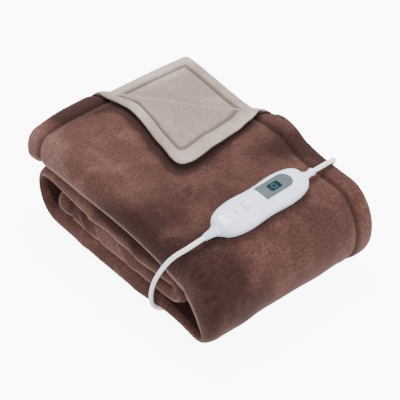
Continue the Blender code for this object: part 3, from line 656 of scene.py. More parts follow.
def crease(p):
    """Soft troughs and ridges: each is a bell curve of the distance to its line,
    faded at the line's ends, and moves the cloth along its own direction.  The
    underside stays flat, and nothing goes below the surface the stack lies on."""
    moved = p.copy()
    for way, row in ((way, np.array(row) * MM) for way, rows in CREASES.items() for row in rows):
        along = row[3:6] - row[:3]
        share = np.clip(((p - row[:3]) @ along) / (along @ along), 0, 1)
        far = np.linalg.norm(p - row[:3] - share[:, None] * along, axis=1)
        moved += (row[7] * bell(far, row[6]))[:, None] * np.array(way, float)
    moved[:, 2] = np.where(p[:, 2] < FLAT_UNDER, p[:, 2], moved[:, 2])
    moved[:, 2] = np.maximum(moved[:, 2], LIFT)
    return moved


def blanket_point(t, s, w):
    """Place of the cloth at strip station t and ply station s, w off the ply's
    middle: the ply's own path, carried along the strip's path, then the turned
    corner, the warp and the creases."""
    y, z, ny, nz, loose = panel_at(t)
    x, off, nx, no = ply_at(s, *eased_table(LEAN, t))
    tall = off * loose
    n_size = np.hypot(nx * loose, no)
    mx = nx * loose / n_size
    mo = no / n_size
    dx, dy, dz, thin = sag(t, x, tall, half_panel(loose), w, ny, nz)
    p = np.stack([x + dx + mx * thin, y + dy + ny * (tall + mo * thin),
                  z + dz + nz * (tall + mo * thin)], 1)
    second = (t <= 1) & (s >= 6)
    cut_x, cut_y = round_corner(x[second], y[second], CORNER_RADIUS[1])
    p[second, 0] += cut_x - x[second]
    p[second, 1] += cut_y - y[second]
    top = (t <= 1) & (s <= 1)
    cut_x, cut_y = round_corner(x[top], y[top], CORNER_RADIUS[0])
    qx, qy, rise, n_x, n_y, n_z, _, past = turn_corner(cut_x, cut_y)
    drawn_x, drawn_y = drawn_edges(s[top], t[top], past)
    p[top] = np.stack([qx + drawn_x + dx[top] + n_x * thin[top],
                       qy + drawn_y + dy[top] + n_y * thin[top],
                       z[top] + dz[top] + tall[top] + rise + n_z * thin[top]], 1)
    return crease(warp(p))


# ================================================================ cloth meshes
def spaced(marks):
    """stations from (start, end, cells) stretches, each evenly divided"""
    parts = [np.linspace(a, b, n, endpoint=False) for a, b, n in marks]
    return np.concatenate(parts + [[marks[-1][1]]])


def top_place(t, s):
    """place of the stations on the top ply while it still lies flat"""
    return STACK_WIDTH - s * PLY_RUN, TOP_BACK_Y - t * STRIP_RUN


def sewn_edge(t, s):
    """distance from the nearest sewn edge, and the way along it"""
    far = np.stack([t * STRIP_RUN, (7 - t) * (THIRD_END_Y - INNER_TURN_Y),
                    s * PLY_RUN, (7 - s) * PLY_RUN])
    u, v = cloth_metres(t, s)
    return far.min(0), np.where(far[:2].min(0) < far[2:].min(0), u, v)


def cloth_metres(t, s):
    """stations as metres along the cut cloth: u along the plies, v along the strip"""
    ts = np.linspace(0, 7, 1401)
    level = np.zeros_like(ts)
    v = path_length(panel_at(ts)[:2])
    u = path_length(ply_at(ts, level, level)[:2])
    return np.interp(s, ts, u), np.interp(t, ts, v)


def painted_light_shade_and_nap(p, t, s, side):
    """Painted light and shade with the pile's lay at each point: the sum of the listed
    bell curves.  The beige hem shows its pale side.  On the brown pile, painted shade
    lies inside the hollows and a painted shadow beside the turned corner's edges, as a
    bell curve of the distance to each."""
    light_shade_and_nap = sum(row[6] * blob(p, row[:3], row[3:6]) for row in PAINTED_LIGHT_SHADE_AND_NAP[side])
    if side < 0:
        inwards = sewn_edge(t, s)[0] - HEM_WIDTH[side]
        return np.clip(light_shade_and_nap + HEM_PALE * (1 - smooth((inwards + 5 * MM) / (6 * MM))), -1, 1)
    # painted shade inside the hollows
    into, out_of = (smooth((s - at) / 0.1) for at in HOLLOW_SPAN)
    light_shade_and_nap -= HOLLOW_PAINTED_SHADE * into * (1 - out_of)
    # painted shadow beside the turned corner's edges
    on_top = (t < 1) & (s < 1)
    run = np.linspace(0.0, EDGE_END, 80)
    flat = 0 * run
    shades = []
    for stations, (amount, half) in zip(((flat, run), (run, flat)), EDGE_SHADE):
        edge = blanket_point(*stations, flat)
        apart = np.hypot(*(p[on_top, None, i] - edge[:, i] for i in range(2)))
        shades.append(amount * bell(apart.min(1), half))
    light_shade_and_nap[on_top] -= np.max(shades, axis=0)
    return np.clip(light_shade_and_nap, -1, 1)


def ply_swell(d, side, puff):
    """Half thickness of the ply at distance d from the sewn edge: a root curve
    rounds the edge, half a sine puffs the hem, a bell curve sinks the stitched
    groove and a second one lifts the cloth beside it."""
    wide = HEM_WIDTH[side]
    base = EDGE_HALF + (PLY_HALF - EDGE_HALF) * np.sqrt(np.clip(d / EDGE_ROUND, 0, 1))
    hem = puff * HEM_PUFF[side] * np.sin(math.pi * np.clip(d / wide, 0, 1)) ** 0.7
    groove = GROOVE_DEPTH * bell(d - wide, GROOVE_HALF[side])
    lip = puff * GROOVE_LIP * bell(d - wide - LIP_AT, LIP_HALF)
    return base + hem - groove + lip


def puffed(t, s, side):
    """1 where the hem lies free, less where plies lie on each other: the brown face is
    free on the top ply short of the crease, the beige face past it and below it"""
    x, y = top_place(t, s)
    turned = smooth(past_crease(x, y) / (10 * MM) + 0.5)
    if side > 0:
        free = ((s <= 1) & (t <= 2)) * (1 - turned * (t <= 1))
    else:
        below = smooth(past_crease(LEFT_FOLD_X + (s - 6) * PLY_RUN, y) / (30 * MM))
        free = np.where(s <= 1, turned, (s >= 6) * below) * (t <= 1)
    return HEM_PRESSED + (1 - HEM_PRESSED) * free


def new_mesh(name, verts, quads, tris=None):
    """smooth-shaded mesh object from whole arrays of corners and faces"""
    mesh = bpy.data.meshes.new(name)
    tris = np.zeros((0, 3), int) if tris is None else np.asarray(tris, int)
    quads = np.asarray(quads, int).reshape(-1, 4)
    loops = np.concatenate([quads.ravel(), tris.ravel()])
    sizes = np.concatenate([np.full(len(quads), 4), np.full(len(tris), 3)])
    starts = np.cumsum(sizes) - sizes
    mesh.vertices.add(len(verts))
    mesh.vertices.foreach_set("co", np.asarray(verts, np.float32).ravel())
    mesh.loops.add(len(loops))
    mesh.loops.foreach_set("vertex_index", loops.astype(np.int32))
    mesh.polygons.add(len(sizes))
    mesh.polygons.foreach_set("loop_start", starts.astype(np.int32))
    mesh.polygons.foreach_set("loop_total", sizes.astype(np.int32))
    mesh.update(calc_edges=True)
    mesh.validate()
    mesh.polygons.foreach_set("use_smooth", np.ones(len(mesh.polygons), bool))
    return new_object(name, mesh)


def new_object(name, data):
    """an object of this mesh, lamp or camera, in the scene"""
    obj = bpy.data.objects.new(name, data)
    bpy.context.scene.collection.objects.link(obj)
    return obj


def dress(obj, mat, slot_name, *nodes, body="blanket"):
    """gives a piece its material and its body, and hides the CAD nodes it stands for; slot_name
    is not used
    """
    obj.data.materials.append(mat)
    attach(obj, body)
    if nodes:
        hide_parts(*nodes)
    return obj


def point_attribute(obj, name, values):
    """one number a point, read by the material"""
    layer = obj.data.attributes.new(name, "FLOAT", "POINT")
    layer.data.foreach_set("value", np.asarray(values, np.float32))


def uv_map(obj, name, u, v):
    """flat coordinates of each point, in metres of cut cloth"""
    layer = obj.data.uv_layers.new(name=name)
    index = np.zeros(len(obj.data.loops), np.int32)
    obj.data.loops.foreach_get("vertex_index", index)
    layer.data.foreach_set("uv", np.column_stack([u[index], v[index]]).astype(np.float32).ravel())


def grid_quads(rows, cols):
    """faces of a rows x cols grid of points"""
    i = (np.arange(rows - 1)[:, None] * cols + np.arange(cols - 1)[None, :]).ravel()
    return np.column_stack([i, i + 1, i + cols + 1, i + cols])


def cloth(name, side, stations, node, slot, mat):
    """One of the two cloths: its pile face and its hidden face on one grid of
    stations, closed by a strip round the sewn edge.  side is 1 for the dark one."""
    rows, columns = stations
    t, s = (g.ravel() for g in np.meshgrid(rows, columns, indexing="ij"))
    d, along = sewn_edge(t, s)
    far = blanket_point(t, s, side * ply_swell(d, side, puffed(t, s, side)))
    near = blanket_point(t, s, side * np.full_like(t, CLOTH_GAP))
    count, n, m = len(t), len(rows), len(columns)
    quads = grid_quads(n, m)
    index = np.arange(count).reshape(n, m)
    rim = np.concatenate([index[0, :], index[1:, -1], index[-1, -2::-1], index[-2:0:-1, 0]])
    turn = np.roll(rim, -1)
    strip = np.column_stack([turn, rim, rim + count, turn + count])
    faces = np.concatenate([quads, quads[:, ::-1] + count, strip])
    obj = new_mesh(name, np.concatenate([far, near]) - STACK_SHIFT,
                   faces if side < 0 else faces[:, ::-1])
    u, v = cloth_metres(t, s)
    uv_map(obj, "cloth", np.tile(u, 2), np.tile(v, 2))
    # these carry the painted rim highlight and painted light and shade with the pile's lay
    for label, values in (("edge_distance", d), ("edge_along", along), ("rim", rim_light(t, s)),
                          ("light_shade_and_nap", painted_light_shade_and_nap(far, t, s, side))):
        point_attribute(obj, label, np.tile(values, 2))
    return dress(obj, mat, slot, node)


def rim_light(t, s):
    """Painted rim highlight: 1 along the edges where the splayed pile catches the light
    on a sharp fold, falling off as a bell curve: the sharp edge of the outer left fold,
    and the crest of the turned-back corner"""
    lean = eased_table(LEAN, t)[0]
    split = (1 + LEAN_DROP * np.abs(lean)) / 2
    sharp = split + RIM_AT * (1 - split)
    at = np.where(lean < 0, 2 - sharp, 1 + sharp)
    edge = smooth(np.abs(lean) / 0.5) * bell(s - at, RIM_HALF)
    bend = turn_corner(*top_place(t, s))[6]
    crest = np.where((t <= 1) & (s <= 1), bell(bend - BEND_RIM_AT, BEND_RIM_HALF), 0)
    return np.clip(edge + crest, 0, 1)


def hem_stations(run, cells, side):
    """stations of a flat run from a sewn edge inwards: closer at the edge and the groove"""
    near, far = HEM_WIDTH[side] - 7 * MM, HEM_WIDTH[side] + 7 * MM
    marks = [(0, 7 * MM, 5), (7 * MM, near, max(3, round(near / (3 * MM)) - 2)),
             (near, far, 9), (far, run, cells)]
    return [(a / run, b / run, n) for a, b, n in marks]


def outer_stations():
    """rows and columns of the brown cloth: fine where it shows, coarse inside"""
    rows = hem_stations(STRIP_RUN, 82, 1)
    rows += [(1, 2, 56), (2, 3, 56), (3, 4, 18), (4, 5, 40), (5, 6, 12), (6, 7, 40)]
    columns = hem_stations(PLY_RUN, 58, 1)
    columns += [(1, 2, 26), (2, 3, 7), (3, 4, 4), (4, 5, 4), (5, 6, 4), (6, 7, 6)]
    return spaced(rows), spaced(columns)


def lining_stations():
    """rows and columns of the beige cloth: fine on the turned corner and below it"""
    rows = hem_stations(STRIP_RUN, 84, -1)
    rows += [(1, 2, 30), (2, 3, 22), (3, 4, 14), (4, 5, 14), (5, 6, 8), (6, 7, 12)]
    edge = hem_stations(PLY_RUN, 58, -1)
    columns = edge + [(1, 2, 14), (2, 3, 6), (3, 4, 5), (4, 5, 5), (5, 6, 6)]
    columns += [(7 - b, 7 - a, n) for a, b, n in edge[::-1]]
    return spaced(rows), spaced(columns)


# ================================================================ materials
def feed(tree, made, inputs):
    """sets a shader node's inputs to numbers, colours or links"""
    for key, value in inputs.items():
        socket = made.inputs[key]
        if isinstance(value, bpy.types.NodeSocket):
            tree.links.new(value, socket)
        else:
            socket.default_value = (*value, 1.0) if socket.type == "RGBA" else value


def add(tree, kind, inputs=None, **settings):
    """a new shader node with its settings and inputs"""
    made = tree.nodes.new("ShaderNode" + kind)
    for key, value in settings.items():
        setattr(made, key, value)
    feed(tree, made, inputs or {})
    return made


def calc(tree, operation, *values):
    """a math node's result, from numbers or links"""
    return add(tree, "Math", dict(enumerate(values)), operation=operation).outputs[0]


def mix_colour(tree, factor, a, b, way="MIX"):
    """a mix of two colours or links"""
    made = add(tree, "Mix", data_type="RGBA", blend_type=way)
    feed(tree, made, {0: factor, 6: a, 7: b})
    return made.outputs[2]


def new_group(name, inputs, outputs):
    """an empty node group: an input without a value is a vector, all else a number"""
    group = bpy.data.node_groups.new(name, "ShaderNodeTree")
    for label, value in inputs.items():
        kind = "NodeSocketVector" if value is None else "NodeSocketFloat"
        socket = group.interface.new_socket(name=label, in_out="INPUT", socket_type=kind)
        if value is not None:
            socket.default_value = value
    for label in outputs:
        group.interface.new_socket(name=label, in_out="OUTPUT", socket_type="NodeSocketFloat")
    return group, group.nodes.new("NodeGroupInput"), group.nodes.new("NodeGroupOutput")


def noise(tree, vector, scale, detail=2.0, rough=0.5, distortion=0.0):
    """soft random pattern from 0 to 1"""
    return add(tree, "TexNoise", {"Vector": vector, "Scale": scale, "Detail": detail,
                                  "Roughness": rough, "Distortion": distortion}).outputs["Fac"]


def new_material(name, inputs):
    """a material, its node tree and its shader, with the shader's constant inputs set"""
    mat = bpy.data.materials.new(name)
    mat.use_nodes = True
    shader = mat.node_tree.nodes["Principled BSDF"]
    feed(mat.node_tree, shader, inputs)
    return mat, mat.node_tree, shader


def nap_group():
    """Brushed nap: broad soft patches where the pile lies over, smaller streaks,
    and the fine grain of the pile ends.  Light Shade And Nap adds the listed patches
    of painted light, painted shade and nap.  Patch runs from 0 to 1, Height in metres."""
    tree, inp, out = new_group(
        "brushed_nap", {"Cloth": None, "Light Shade And Nap": 0.0, "Patch Size": 0.06, "Contrast": 0.5,
                        "Grain Size": 0.0032}, ("Patch", "Grain", "Height"))

    def per(size):
        """the cloth's coordinates counted in this size"""
        times = calc(tree, "DIVIDE", 1.0, inp.outputs[size])
        return add(tree, "VectorMath", {0: inp.outputs["Cloth"], "Scale": times},
                   operation="SCALE").outputs[0]

    at = per("Patch Size")
    streaked = add(tree, "Mapping", {"Vector": at, "Rotation": (0, 0, 0.5), "Scale": (2, 7, 1)})
    total = calc(tree, "MULTIPLY", noise(tree, streaked.outputs[0], 1.6), 0.22)
    total = calc(tree, "MULTIPLY_ADD", noise(tree, at, 3.4, 3.0, 0.55, 0.8), 0.5, total)
    total = calc(tree, "MULTIPLY_ADD", noise(tree, at, 1.0, 2.0, 0.45, 0.6), 0.95, total)
    patch = add(tree, "MapRange", {"Value": total, "From Min": 0.66, "From Max": 1.16},
                interpolation_type="SMOOTHSTEP")
    uneven = calc(tree, "SUBTRACT", patch.outputs["Result"], 0.5)
    laid = calc(tree, "MULTIPLY_ADD", uneven, inp.outputs["Contrast"], inp.outputs["Light Shade And Nap"])
    laid = add(tree, "Math", {0: laid, 1: 0.5}, operation="ADD", use_clamp=True)
    grain = noise(tree, per("Grain Size"), 1.0, 3.0, 0.6, 0.3)
    height = calc(tree, "MULTIPLY_ADD", grain, 0.0006, calc(tree, "MULTIPLY", total, 0.0009))
    feed(tree, out, {"Patch": laid.outputs[0], "Grain": grain, "Height": height})
    return tree


def stitch_group():
    """Sewing line of the hem: a thread of short stitches along the bottom of the
    groove.  Thread is 1 on a stitch; Groove Shade, the mask of the painted shade in the groove,
    falls off beside the line."""
    tree, inp, out = new_group(
        "hem_stitches", {"Distance": 1.0, "Along": 0.0, "Line": HEM_WIDTH[-1], "Width": 0.003,
                         "Stitch": 0.0042}, ("Thread", "Groove Shade"))
    distance, along, line, width, stitch = inp.outputs[:5]
    off = calc(tree, "ABSOLUTE", calc(tree, "SUBTRACT", distance, line))
    step = calc(tree, "FRACT", calc(tree, "DIVIDE", along, stitch))
    on = calc(tree, "MULTIPLY", calc(tree, "LESS_THAN", off, 0.00045),
              calc(tree, "LESS_THAN", step, 0.72))
    wide = calc(tree, "DIVIDE", off, width)
    fall = calc(tree, "MULTIPLY", calc(tree, "MULTIPLY", wide, wide), -1.0)
    feed(tree, out, {"Thread": on, "Groove Shade": calc(tree, "POWER", math.e, fall)})
    return tree


def plush(name, side, tones, groups, sheen, tint, patch_size, contrast, speckle, groove_painted_shade,
          rim_highlight_tone, thread_tone):
    """short plush: nap patches between three tones, pile grain, stitched groove with painted
    shade, painted rim highlight, and painted light and shade with the pile's lay
    """
    mat, tree, shader = new_material(name, {
        "Roughness": 0.95, "Specular IOR Level": 0.15, "Sheen Weight": sheen,
        "Sheen Roughness": 0.4, "Sheen Tint": tint})
    # the first attribute carries painted light and shade with the nap, rim the painted rim
    # highlight
    light_shade_and_nap, distance, along, rim = (add(tree, "Attribute", attribute_name=label).outputs["Fac"]
                                 for label in ("light_shade_and_nap", "edge_distance", "edge_along", "rim"))
    nap = add(tree, "Group", node_tree=groups["nap"])
    feed(tree, nap, {"Cloth": add(tree, "UVMap", uv_map="cloth").outputs[0], "Light Shade And Nap": light_shade_and_nap,
                     "Patch Size": patch_size, "Contrast": contrast})
    ramp = add(tree, "ValToRGB", {0: nap.outputs["Patch"]})
    stops = ramp.color_ramp.elements
    stops[0].color = (*tones[0], 1)
    stops[1].color = (*tones[2], 1)
    stops.new(0.5).color = (*tones[1], 1)
    grain = calc(tree, "MULTIPLY_ADD", nap.outputs["Grain"], speckle, 1 - speckle / 2)
    speck = add(tree, "CombineColor", {0: grain, 1: grain, 2: grain})
    colour = mix_colour(tree, 1.0, ramp.outputs[0], speck.outputs[0], "MULTIPLY")
    stitch = add(tree, "Group", node_tree=groups["stitch"])
    feed(tree, stitch, {"Distance": distance, "Along": along, "Line": HEM_WIDTH[side],
                        "Width": GROOVE_HALF[side]})
    thread = stitch.outputs["Thread"]
    # painted shade in the stitched groove, painted sheen highlight on the rims, and the thread's
    # own colour
    for mask, share, tone in (
            (stitch.outputs["Groove Shade"], groove_painted_shade, tuple(c * 0.25 for c in tones[0])),
            (rim, 0.62, rim_highlight_tone), (thread, 0.8, thread_tone)):
        colour = mix_colour(tree, calc(tree, "MULTIPLY", mask, share), colour, tone)
    height = calc(tree, "MULTIPLY_ADD", thread, 0.0004, nap.outputs["Height"])
    bump = add(tree, "Bump", {"Strength": 0.9, "Distance": 1.0, "Height": height})
    feed(tree, shader, {"Base Color": colour, "Normal": bump.outputs[0]})
    return mat


def moulded(name, colour, rough, coat=0.0, grain=0.00002, size=0.0006, metallic=0.0,
            specular=0.5):
    """moulded plastic or metal: faint tone changes and a fine surface grain"""
    mat, tree, shader = new_material(name, {
        "Metallic": metallic, "Specular IOR Level": specular, "Coat Weight": coat,
        "Coat Roughness": 0.12})
    where = add(tree, "TexCoord").outputs["Object"]
    tone = mix_colour(tree, noise(tree, where, 40.0), tuple(c * 0.95 for c in colour),
                      tuple(min(1.0, c * 1.03) for c in colour))
    uneven = calc(tree, "MULTIPLY_ADD", noise(tree, where, 150.0), 0.12, rough - 0.06)
    height = calc(tree, "MULTIPLY", noise(tree, where, 1.0 / size), grain)
    bump = add(tree, "Bump", {"Strength": 1.0, "Distance": 1.0, "Height": height})
    feed(tree, shader, {"Base Color": tone, "Roughness": uneven, "Normal": bump.outputs[0]})
    return mat


# ================================================================ controller
def body_matrix():
    """where the controller lies, from its own frame"""
    turn = Matrix.Rotation(math.radians(BODY_TURN), 4, "Z")
    tilt = Matrix.Rotation(math.radians(BODY_TILT), 4, "X")
    return Matrix.Translation(np.array(BODY_AT) - STACK_SHIFT) @ turn @ tilt


def place_body(points):
    """controller points in the part's frame"""
    m = np.array(body_matrix())
    return np.asarray(points) @ m[:3, :3].T + m[:3, 3]


def body_outline(a, inset):
    """Rounded oblong with a waist, drawn in by inset: x goes as cos^p, y as sin^q,
    and the waist is a squared cosine of x."""
    c, s = np.cos(a), np.sin(a)
    half = BODY_LENGTH / 2 - inset
    x = half * np.sign(c) * np.abs(c) ** END_POWER
    middle = np.clip(x / (WAIST_SPAN * half), -1, 1)
    wide = BODY_HALF_WIDTH - BODY_WAIST * np.cos(math.pi * middle / 2) ** 2
    y = (wide - inset) * np.sign(s) * np.abs(s) ** SIDE_POWER
    return np.column_stack([x, y])


def slot_distance(x, y):
    """distance outside the switch's oval hollow, negative inside: a long round box"""
    corner = SLOT_SIZE[1] * 0.46
    qx = np.abs(x - SLOT_X) - (SLOT_SIZE[0] / 2 - corner)
    qy = np.abs(y) - (SLOT_SIZE[1] / 2 - corner)
    out = np.hypot(np.maximum(qx, 0), np.maximum(qy, 0))
    return out + np.minimum(np.maximum(qx, qy), 0) - corner


def closed_rings(name, rings, *finish, **body):
    """closed skin through rings of points, each an array (count, 3), with a point
    in the middle of the first and last ring; finish goes to dress"""
    rows, count = len(rings), len(rings[0])
    i = np.arange(rows - 1)[:, None] * count
    j = np.arange(count)
    k = (j + 1) % count
    quads = np.stack([i + j, i + k, i + count + k, i + count + j], -1)
    verts = np.concatenate([*rings, [rings[0].mean(0)], [rings[-1].mean(0)]])
    first, last = np.full(count, rows * count), np.full(count, rows * count + 1)
    end = (rows - 1) * count
    tris = np.concatenate([np.column_stack([k, j, first]),
                           np.column_stack([end + j, end + k, last])])
    obj = new_mesh(name, verts, quads, tris)
    obj.data.set_sharp_from_angle(angle=SHARP_ANGLE)
    return dress(obj, *finish, **body)


def body_rings(name, rings, *finish, **body):
    """closed skin through rings of points in the controller's own frame"""
    return closed_rings(name, [place_body(r) for r in rings], *finish, **body)


def at_height(outline, height):
    """a flat ring of points on an outline"""
    return np.column_stack([outline, np.full(len(outline), height)])


def drawn_in(edge, shares, rise):
    """rings that draw an edge together to its middle, each raised by rise(share, x)"""
    rings = [edge * [f, f, 1] for f in shares]
    for f, ring in zip(shares, rings):
        ring[:, 2] += rise(f, ring[:, 0])
    return rings


def shell_rings(levels, count, steps, top):
    """Rings of half the housing.  The section is a smooth curve through (height,
    inset) levels, and the flat top is drawn together to its middle with a slight
    crown.  The upper half sinks at the switch's hollow."""
    a = 2 * math.pi * np.arange(count) / count
    levels = np.array(levels, float) * MM
    run = path_length(levels.T)
    at = np.linspace(0, run[-1], steps)
    height, inset = (np.convolve(np.pad(np.interp(at, run, levels[:, c]), 3, "edge"),
                                 np.ones(7) / 7, "valid") for c in range(2))
    rings = [at_height(body_outline(a, i), h) for h, i in zip(height, inset)]
    rings += drawn_in(rings[-1], np.linspace(0.985, 0.02, 56),
                      lambda f, x: (TOP_CROWN if top else -UNDER_CROWN) * (1 - f * f))
    if top:
        for ring in rings:
            sink = smooth(-slot_distance(ring[:, 0], ring[:, 1]) / (2.4 * MM) + 0.15)
            ring[:, 2] -= SLOT_FLOOR * sink
    return rings


def rounded_outline(length, width, radius, steps=8):
    """outline of a rectangle with round corners, centred, as an array"""
    quarter = np.repeat(np.arange(4), steps + 1)
    a = math.pi / 2 * (quarter + np.tile(np.arange(steps + 1), 4) / steps)
    cx = np.where((quarter == 0) | (quarter == 3), 1, -1) * (length / 2 - radius)
    cy = np.where(quarter < 2, 1, -1) * (width / 2 - radius)
    return np.column_stack([cx + radius * np.cos(a), cy + radius * np.sin(a)])


def window_outline():
    """window: straight end towards the switch, round end towards the lead"""
    half = WINDOW_HALF
    x0, x1 = WINDOW_X
    a = -math.pi / 2 + math.pi * np.arange(41) / 40
    round_end = np.column_stack([x1 - half + half * np.cos(a), half * np.sin(a)])
    side = np.column_stack([np.linspace(x0, x1 - half, 12)[:-1], np.full(11, -half)])
    return np.concatenate([side, round_end, side[::-1] * [1, -1]])


def plate(name, outline, centre, low, high, edge, *finish):
    """Flat piece on an outline, its top edge rounded in a quarter circle"""
    flat = outline + np.array(centre)
    middle = flat.mean(0)
    size = np.abs(flat - middle).max()
    rings = [at_height(flat, low)]
    for a in np.linspace(0, math.pi / 2, 6):
        shrink = 1 - edge * (1 - math.cos(a)) / size
        height = high - edge + edge * math.sin(a)
        rings.append(at_height(middle + (flat - middle) * shrink, height))
    body_rings(name, rings, *finish)


def sleeve(name, side, ribs, mat, node_name):
    """Strain-relief sleeve: oval section that narrows along its length, with a
    flared root, and either a groove at each rib or one groove and a lip."""
    x = np.linspace(RELIEF_SEAT, RELIEF_TIP, 90)
    f = (x - RELIEF_SEAT) / (RELIEF_TIP - RELIEF_SEAT)
    root = RELIEF_FLARE * bell(f, 0.26)
    if ribs:
        phase = (f - 0.12) / 0.86 * ribs
        wave = (0.5 - 0.5 * np.cos(2 * math.pi * phase)) ** 2
        cut = 2.0 * MM * np.where((phase > 0) & (phase < ribs), wave, 0)
    else:
        cut = 1.5 * MM * bell(f - 0.55, 0.2) - 0.7 * MM * bell(f - 0.86, 0.08)
    cut = cut + 0.9 * MM * smooth((f - 0.955) / 0.045)
    a = 2 * math.pi * np.arange(RELIEF_SIDES) / RELIEF_SIDES
    wide = RELIEF_WIDE[0] + (RELIEF_WIDE[1] - RELIEF_WIDE[0]) * f + root * 1.2 - cut
    tall = RELIEF_TALL[0] + (RELIEF_TALL[1] - RELIEF_TALL[0]) * f + root * 0.8 - cut
    rings = [np.column_stack([np.full(RELIEF_SIDES, side * xi), w * np.cos(a),
                              RELIEF_Z + h * np.sin(a)]) for xi, w, h in zip(x, wide, tall)]
    body_rings(name, rings[::side], mat, "housing", node_name)


# ================================================================ leads
def smooth_route(points, spacing):
    """Even points on a smooth curve through the route's own points: a Catmull-Rom
    curve whose knots go with the root of the chord, in metres."""
    p = np.array(points, float) * MM
    p = np.concatenate([[2 * p[0] - p[1]], p, [2 * p[-1] - p[-2]]])
    knots = np.concatenate([[0], np.cumsum(np.sqrt(np.linalg.norm(np.diff(p, axis=0), axis=1)))])

    def between(t, i, j, a, b):
        """straight blend of a and b from knot i to knot j"""
        return ((knots[j] - t) * a + (t - knots[i]) * b) / (knots[j] - knots[i])

    dense = []
    for i in range(1, len(p) - 2):
        t = np.linspace(knots[i], knots[i + 1], 24, endpoint=i == len(p) - 3)[:, None]
        a = [between(t, i + k, i + k + 1, p[i + k], p[i + k + 1]) for k in (-1, 0, 1)]
        b = [between(t, i + k - 1, i + k + 1, a[k], a[k + 1]) for k in (0, 1)]
        dense.append(between(t, i, i + 1, *b))
    dense = np.concatenate(dense)
    run = path_length(dense.T)
    even = np.linspace(0, run[-1], max(2, int(round(run[-1] / spacing)) + 1))
    return np.column_stack([np.interp(even, run, dense[:, c]) for c in range(3)])


def coil_turns():
    """angles in degrees, radii and heights in millimetres along the coil's turns"""
    keys = np.array(COIL_TURNS, float).T
    a = np.arange(keys[0, 0], keys[0, -1] + 0.1, COIL_STEP)
    return a, np.interp(a, *keys[:2]), np.interp(a, *keys[::2])


def coil_points():
    """the coil as route points: two flat spirals, in at the bottom and out on top of it"""
    a, r, z = coil_turns()
    b = np.radians(a)
    return np.column_stack([COIL_AT[0] / MM + r * np.cos(b), COIL_AT[1] / MM + r * np.sin(b), z])


def tube(name, path, reference, mat, *nodes):
    """Round tube along a path: each ring lies square to the path, turned so that
    one side faces the reference direction."""
    ahead = np.gradient(path, axis=0)
    ahead /= np.linalg.norm(ahead, axis=1)[:, None]
    side = np.cross(ahead, np.array(reference, float))
    side /= np.linalg.norm(side, axis=1)[:, None]
    up = np.cross(side, ahead)
    a = 2 * math.pi * np.arange(CORD_SIDES)[None, :, None] / CORD_SIDES
    ring = side[:, None, :] * np.cos(a) + up[:, None, :] * np.sin(a)
    rings = list(path[:, None, :] + CORD_R * ring)
    return closed_rings(name, rings, mat, "lead", *nodes)


def leads(mats):
    """the blanket's short lead, and the mains lead with its coil and plug"""
    short = smooth_route(BLANKET_LEAD, 2.0 * MM) - STACK_SHIFT
    piece = tube("blanket_lead_cord", short, (-0.6, 0.0, 0.8), mats["lead"], "blanket_lead")
    route = np.concatenate([MAINS_LEAD[:-1], coil_points(), PLUG_TAIL[1:]])
    long = smooth_route(route, 2.6 * MM) - STACK_SHIFT
    piece = tube("mains_lead_cord", long, (0.6, 0.0, 0.8), mats["lead"],
                 "mains_lead", "mains_coil", "plug_tail")
    plug = [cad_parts[n] for n in ("plug_body", "plug_pin_1", "plug_pin_2")]
    [tie_band(mats["tie"])] + plug


def tie_band(mat):
    """Flat band round the coil's turns: it follows the outline pulled tight round
    the cords where they pass the tie, and its own section is a flat rectangle."""
    angles, *turns = coil_turns()
    passes = np.arange(TIE_ANGLE, angles[-1], 360)
    centres = np.column_stack([np.interp(passes, angles, row) for row in turns]) * MM
    a = np.linspace(0, 2 * math.pi, 721)
    way = np.column_stack([np.cos(a), np.sin(a)])
    inner = centres[np.argmax(way @ centres.T, axis=1)] + (CORD_R + TIE_GAP) * way
    run = path_length(inner.T)
    even = np.linspace(0, run[-1], 121)[:-1]
    inner, out = (np.column_stack([np.interp(even, run, line[:, c]) for c in range(2)])
                  for line in (inner, way))
    out /= np.linalg.norm(out, axis=1)[:, None]
    b = math.radians(TIE_ANGLE)
    radial, along = np.array([[math.cos(b), math.sin(b), 0], [-math.sin(b), math.cos(b), 0]])
    centre = np.array([*COIL_AT, 0]) - STACK_SHIFT
    half, thick = TIE_SIZE[0] / 2, TIE_SIZE[1]
    bevel = thick * 0.4
    section = [(-half, 0), (half, 0), (half, thick * 0.7), (half - bevel, thick),
               (bevel - half, thick), (-half, thick * 0.7)]
    grid = np.stack([centre + (inner + h * out) @ np.array([radial, (0, 0, 1)]) + side * along
                     for side, h in section], 1)
    grid[:, :, 2] = np.maximum(grid[:, :, 2], LIFT)
    n, m = grid.shape[:2]
    i, j = np.arange(n)[:, None] * m, np.arange(m)
    k, l = (i + m) % (n * m), (j + 1) % m
    quads = np.stack([i + j, k + j, k + l, i + l], -1)
    obj = new_mesh("coil_band", grid.reshape(-1, 3), quads)
    obj.data.set_sharp_from_angle(angle=SHARP_ANGLE)
    return dress(obj, mat, "tie", "coil_tie")


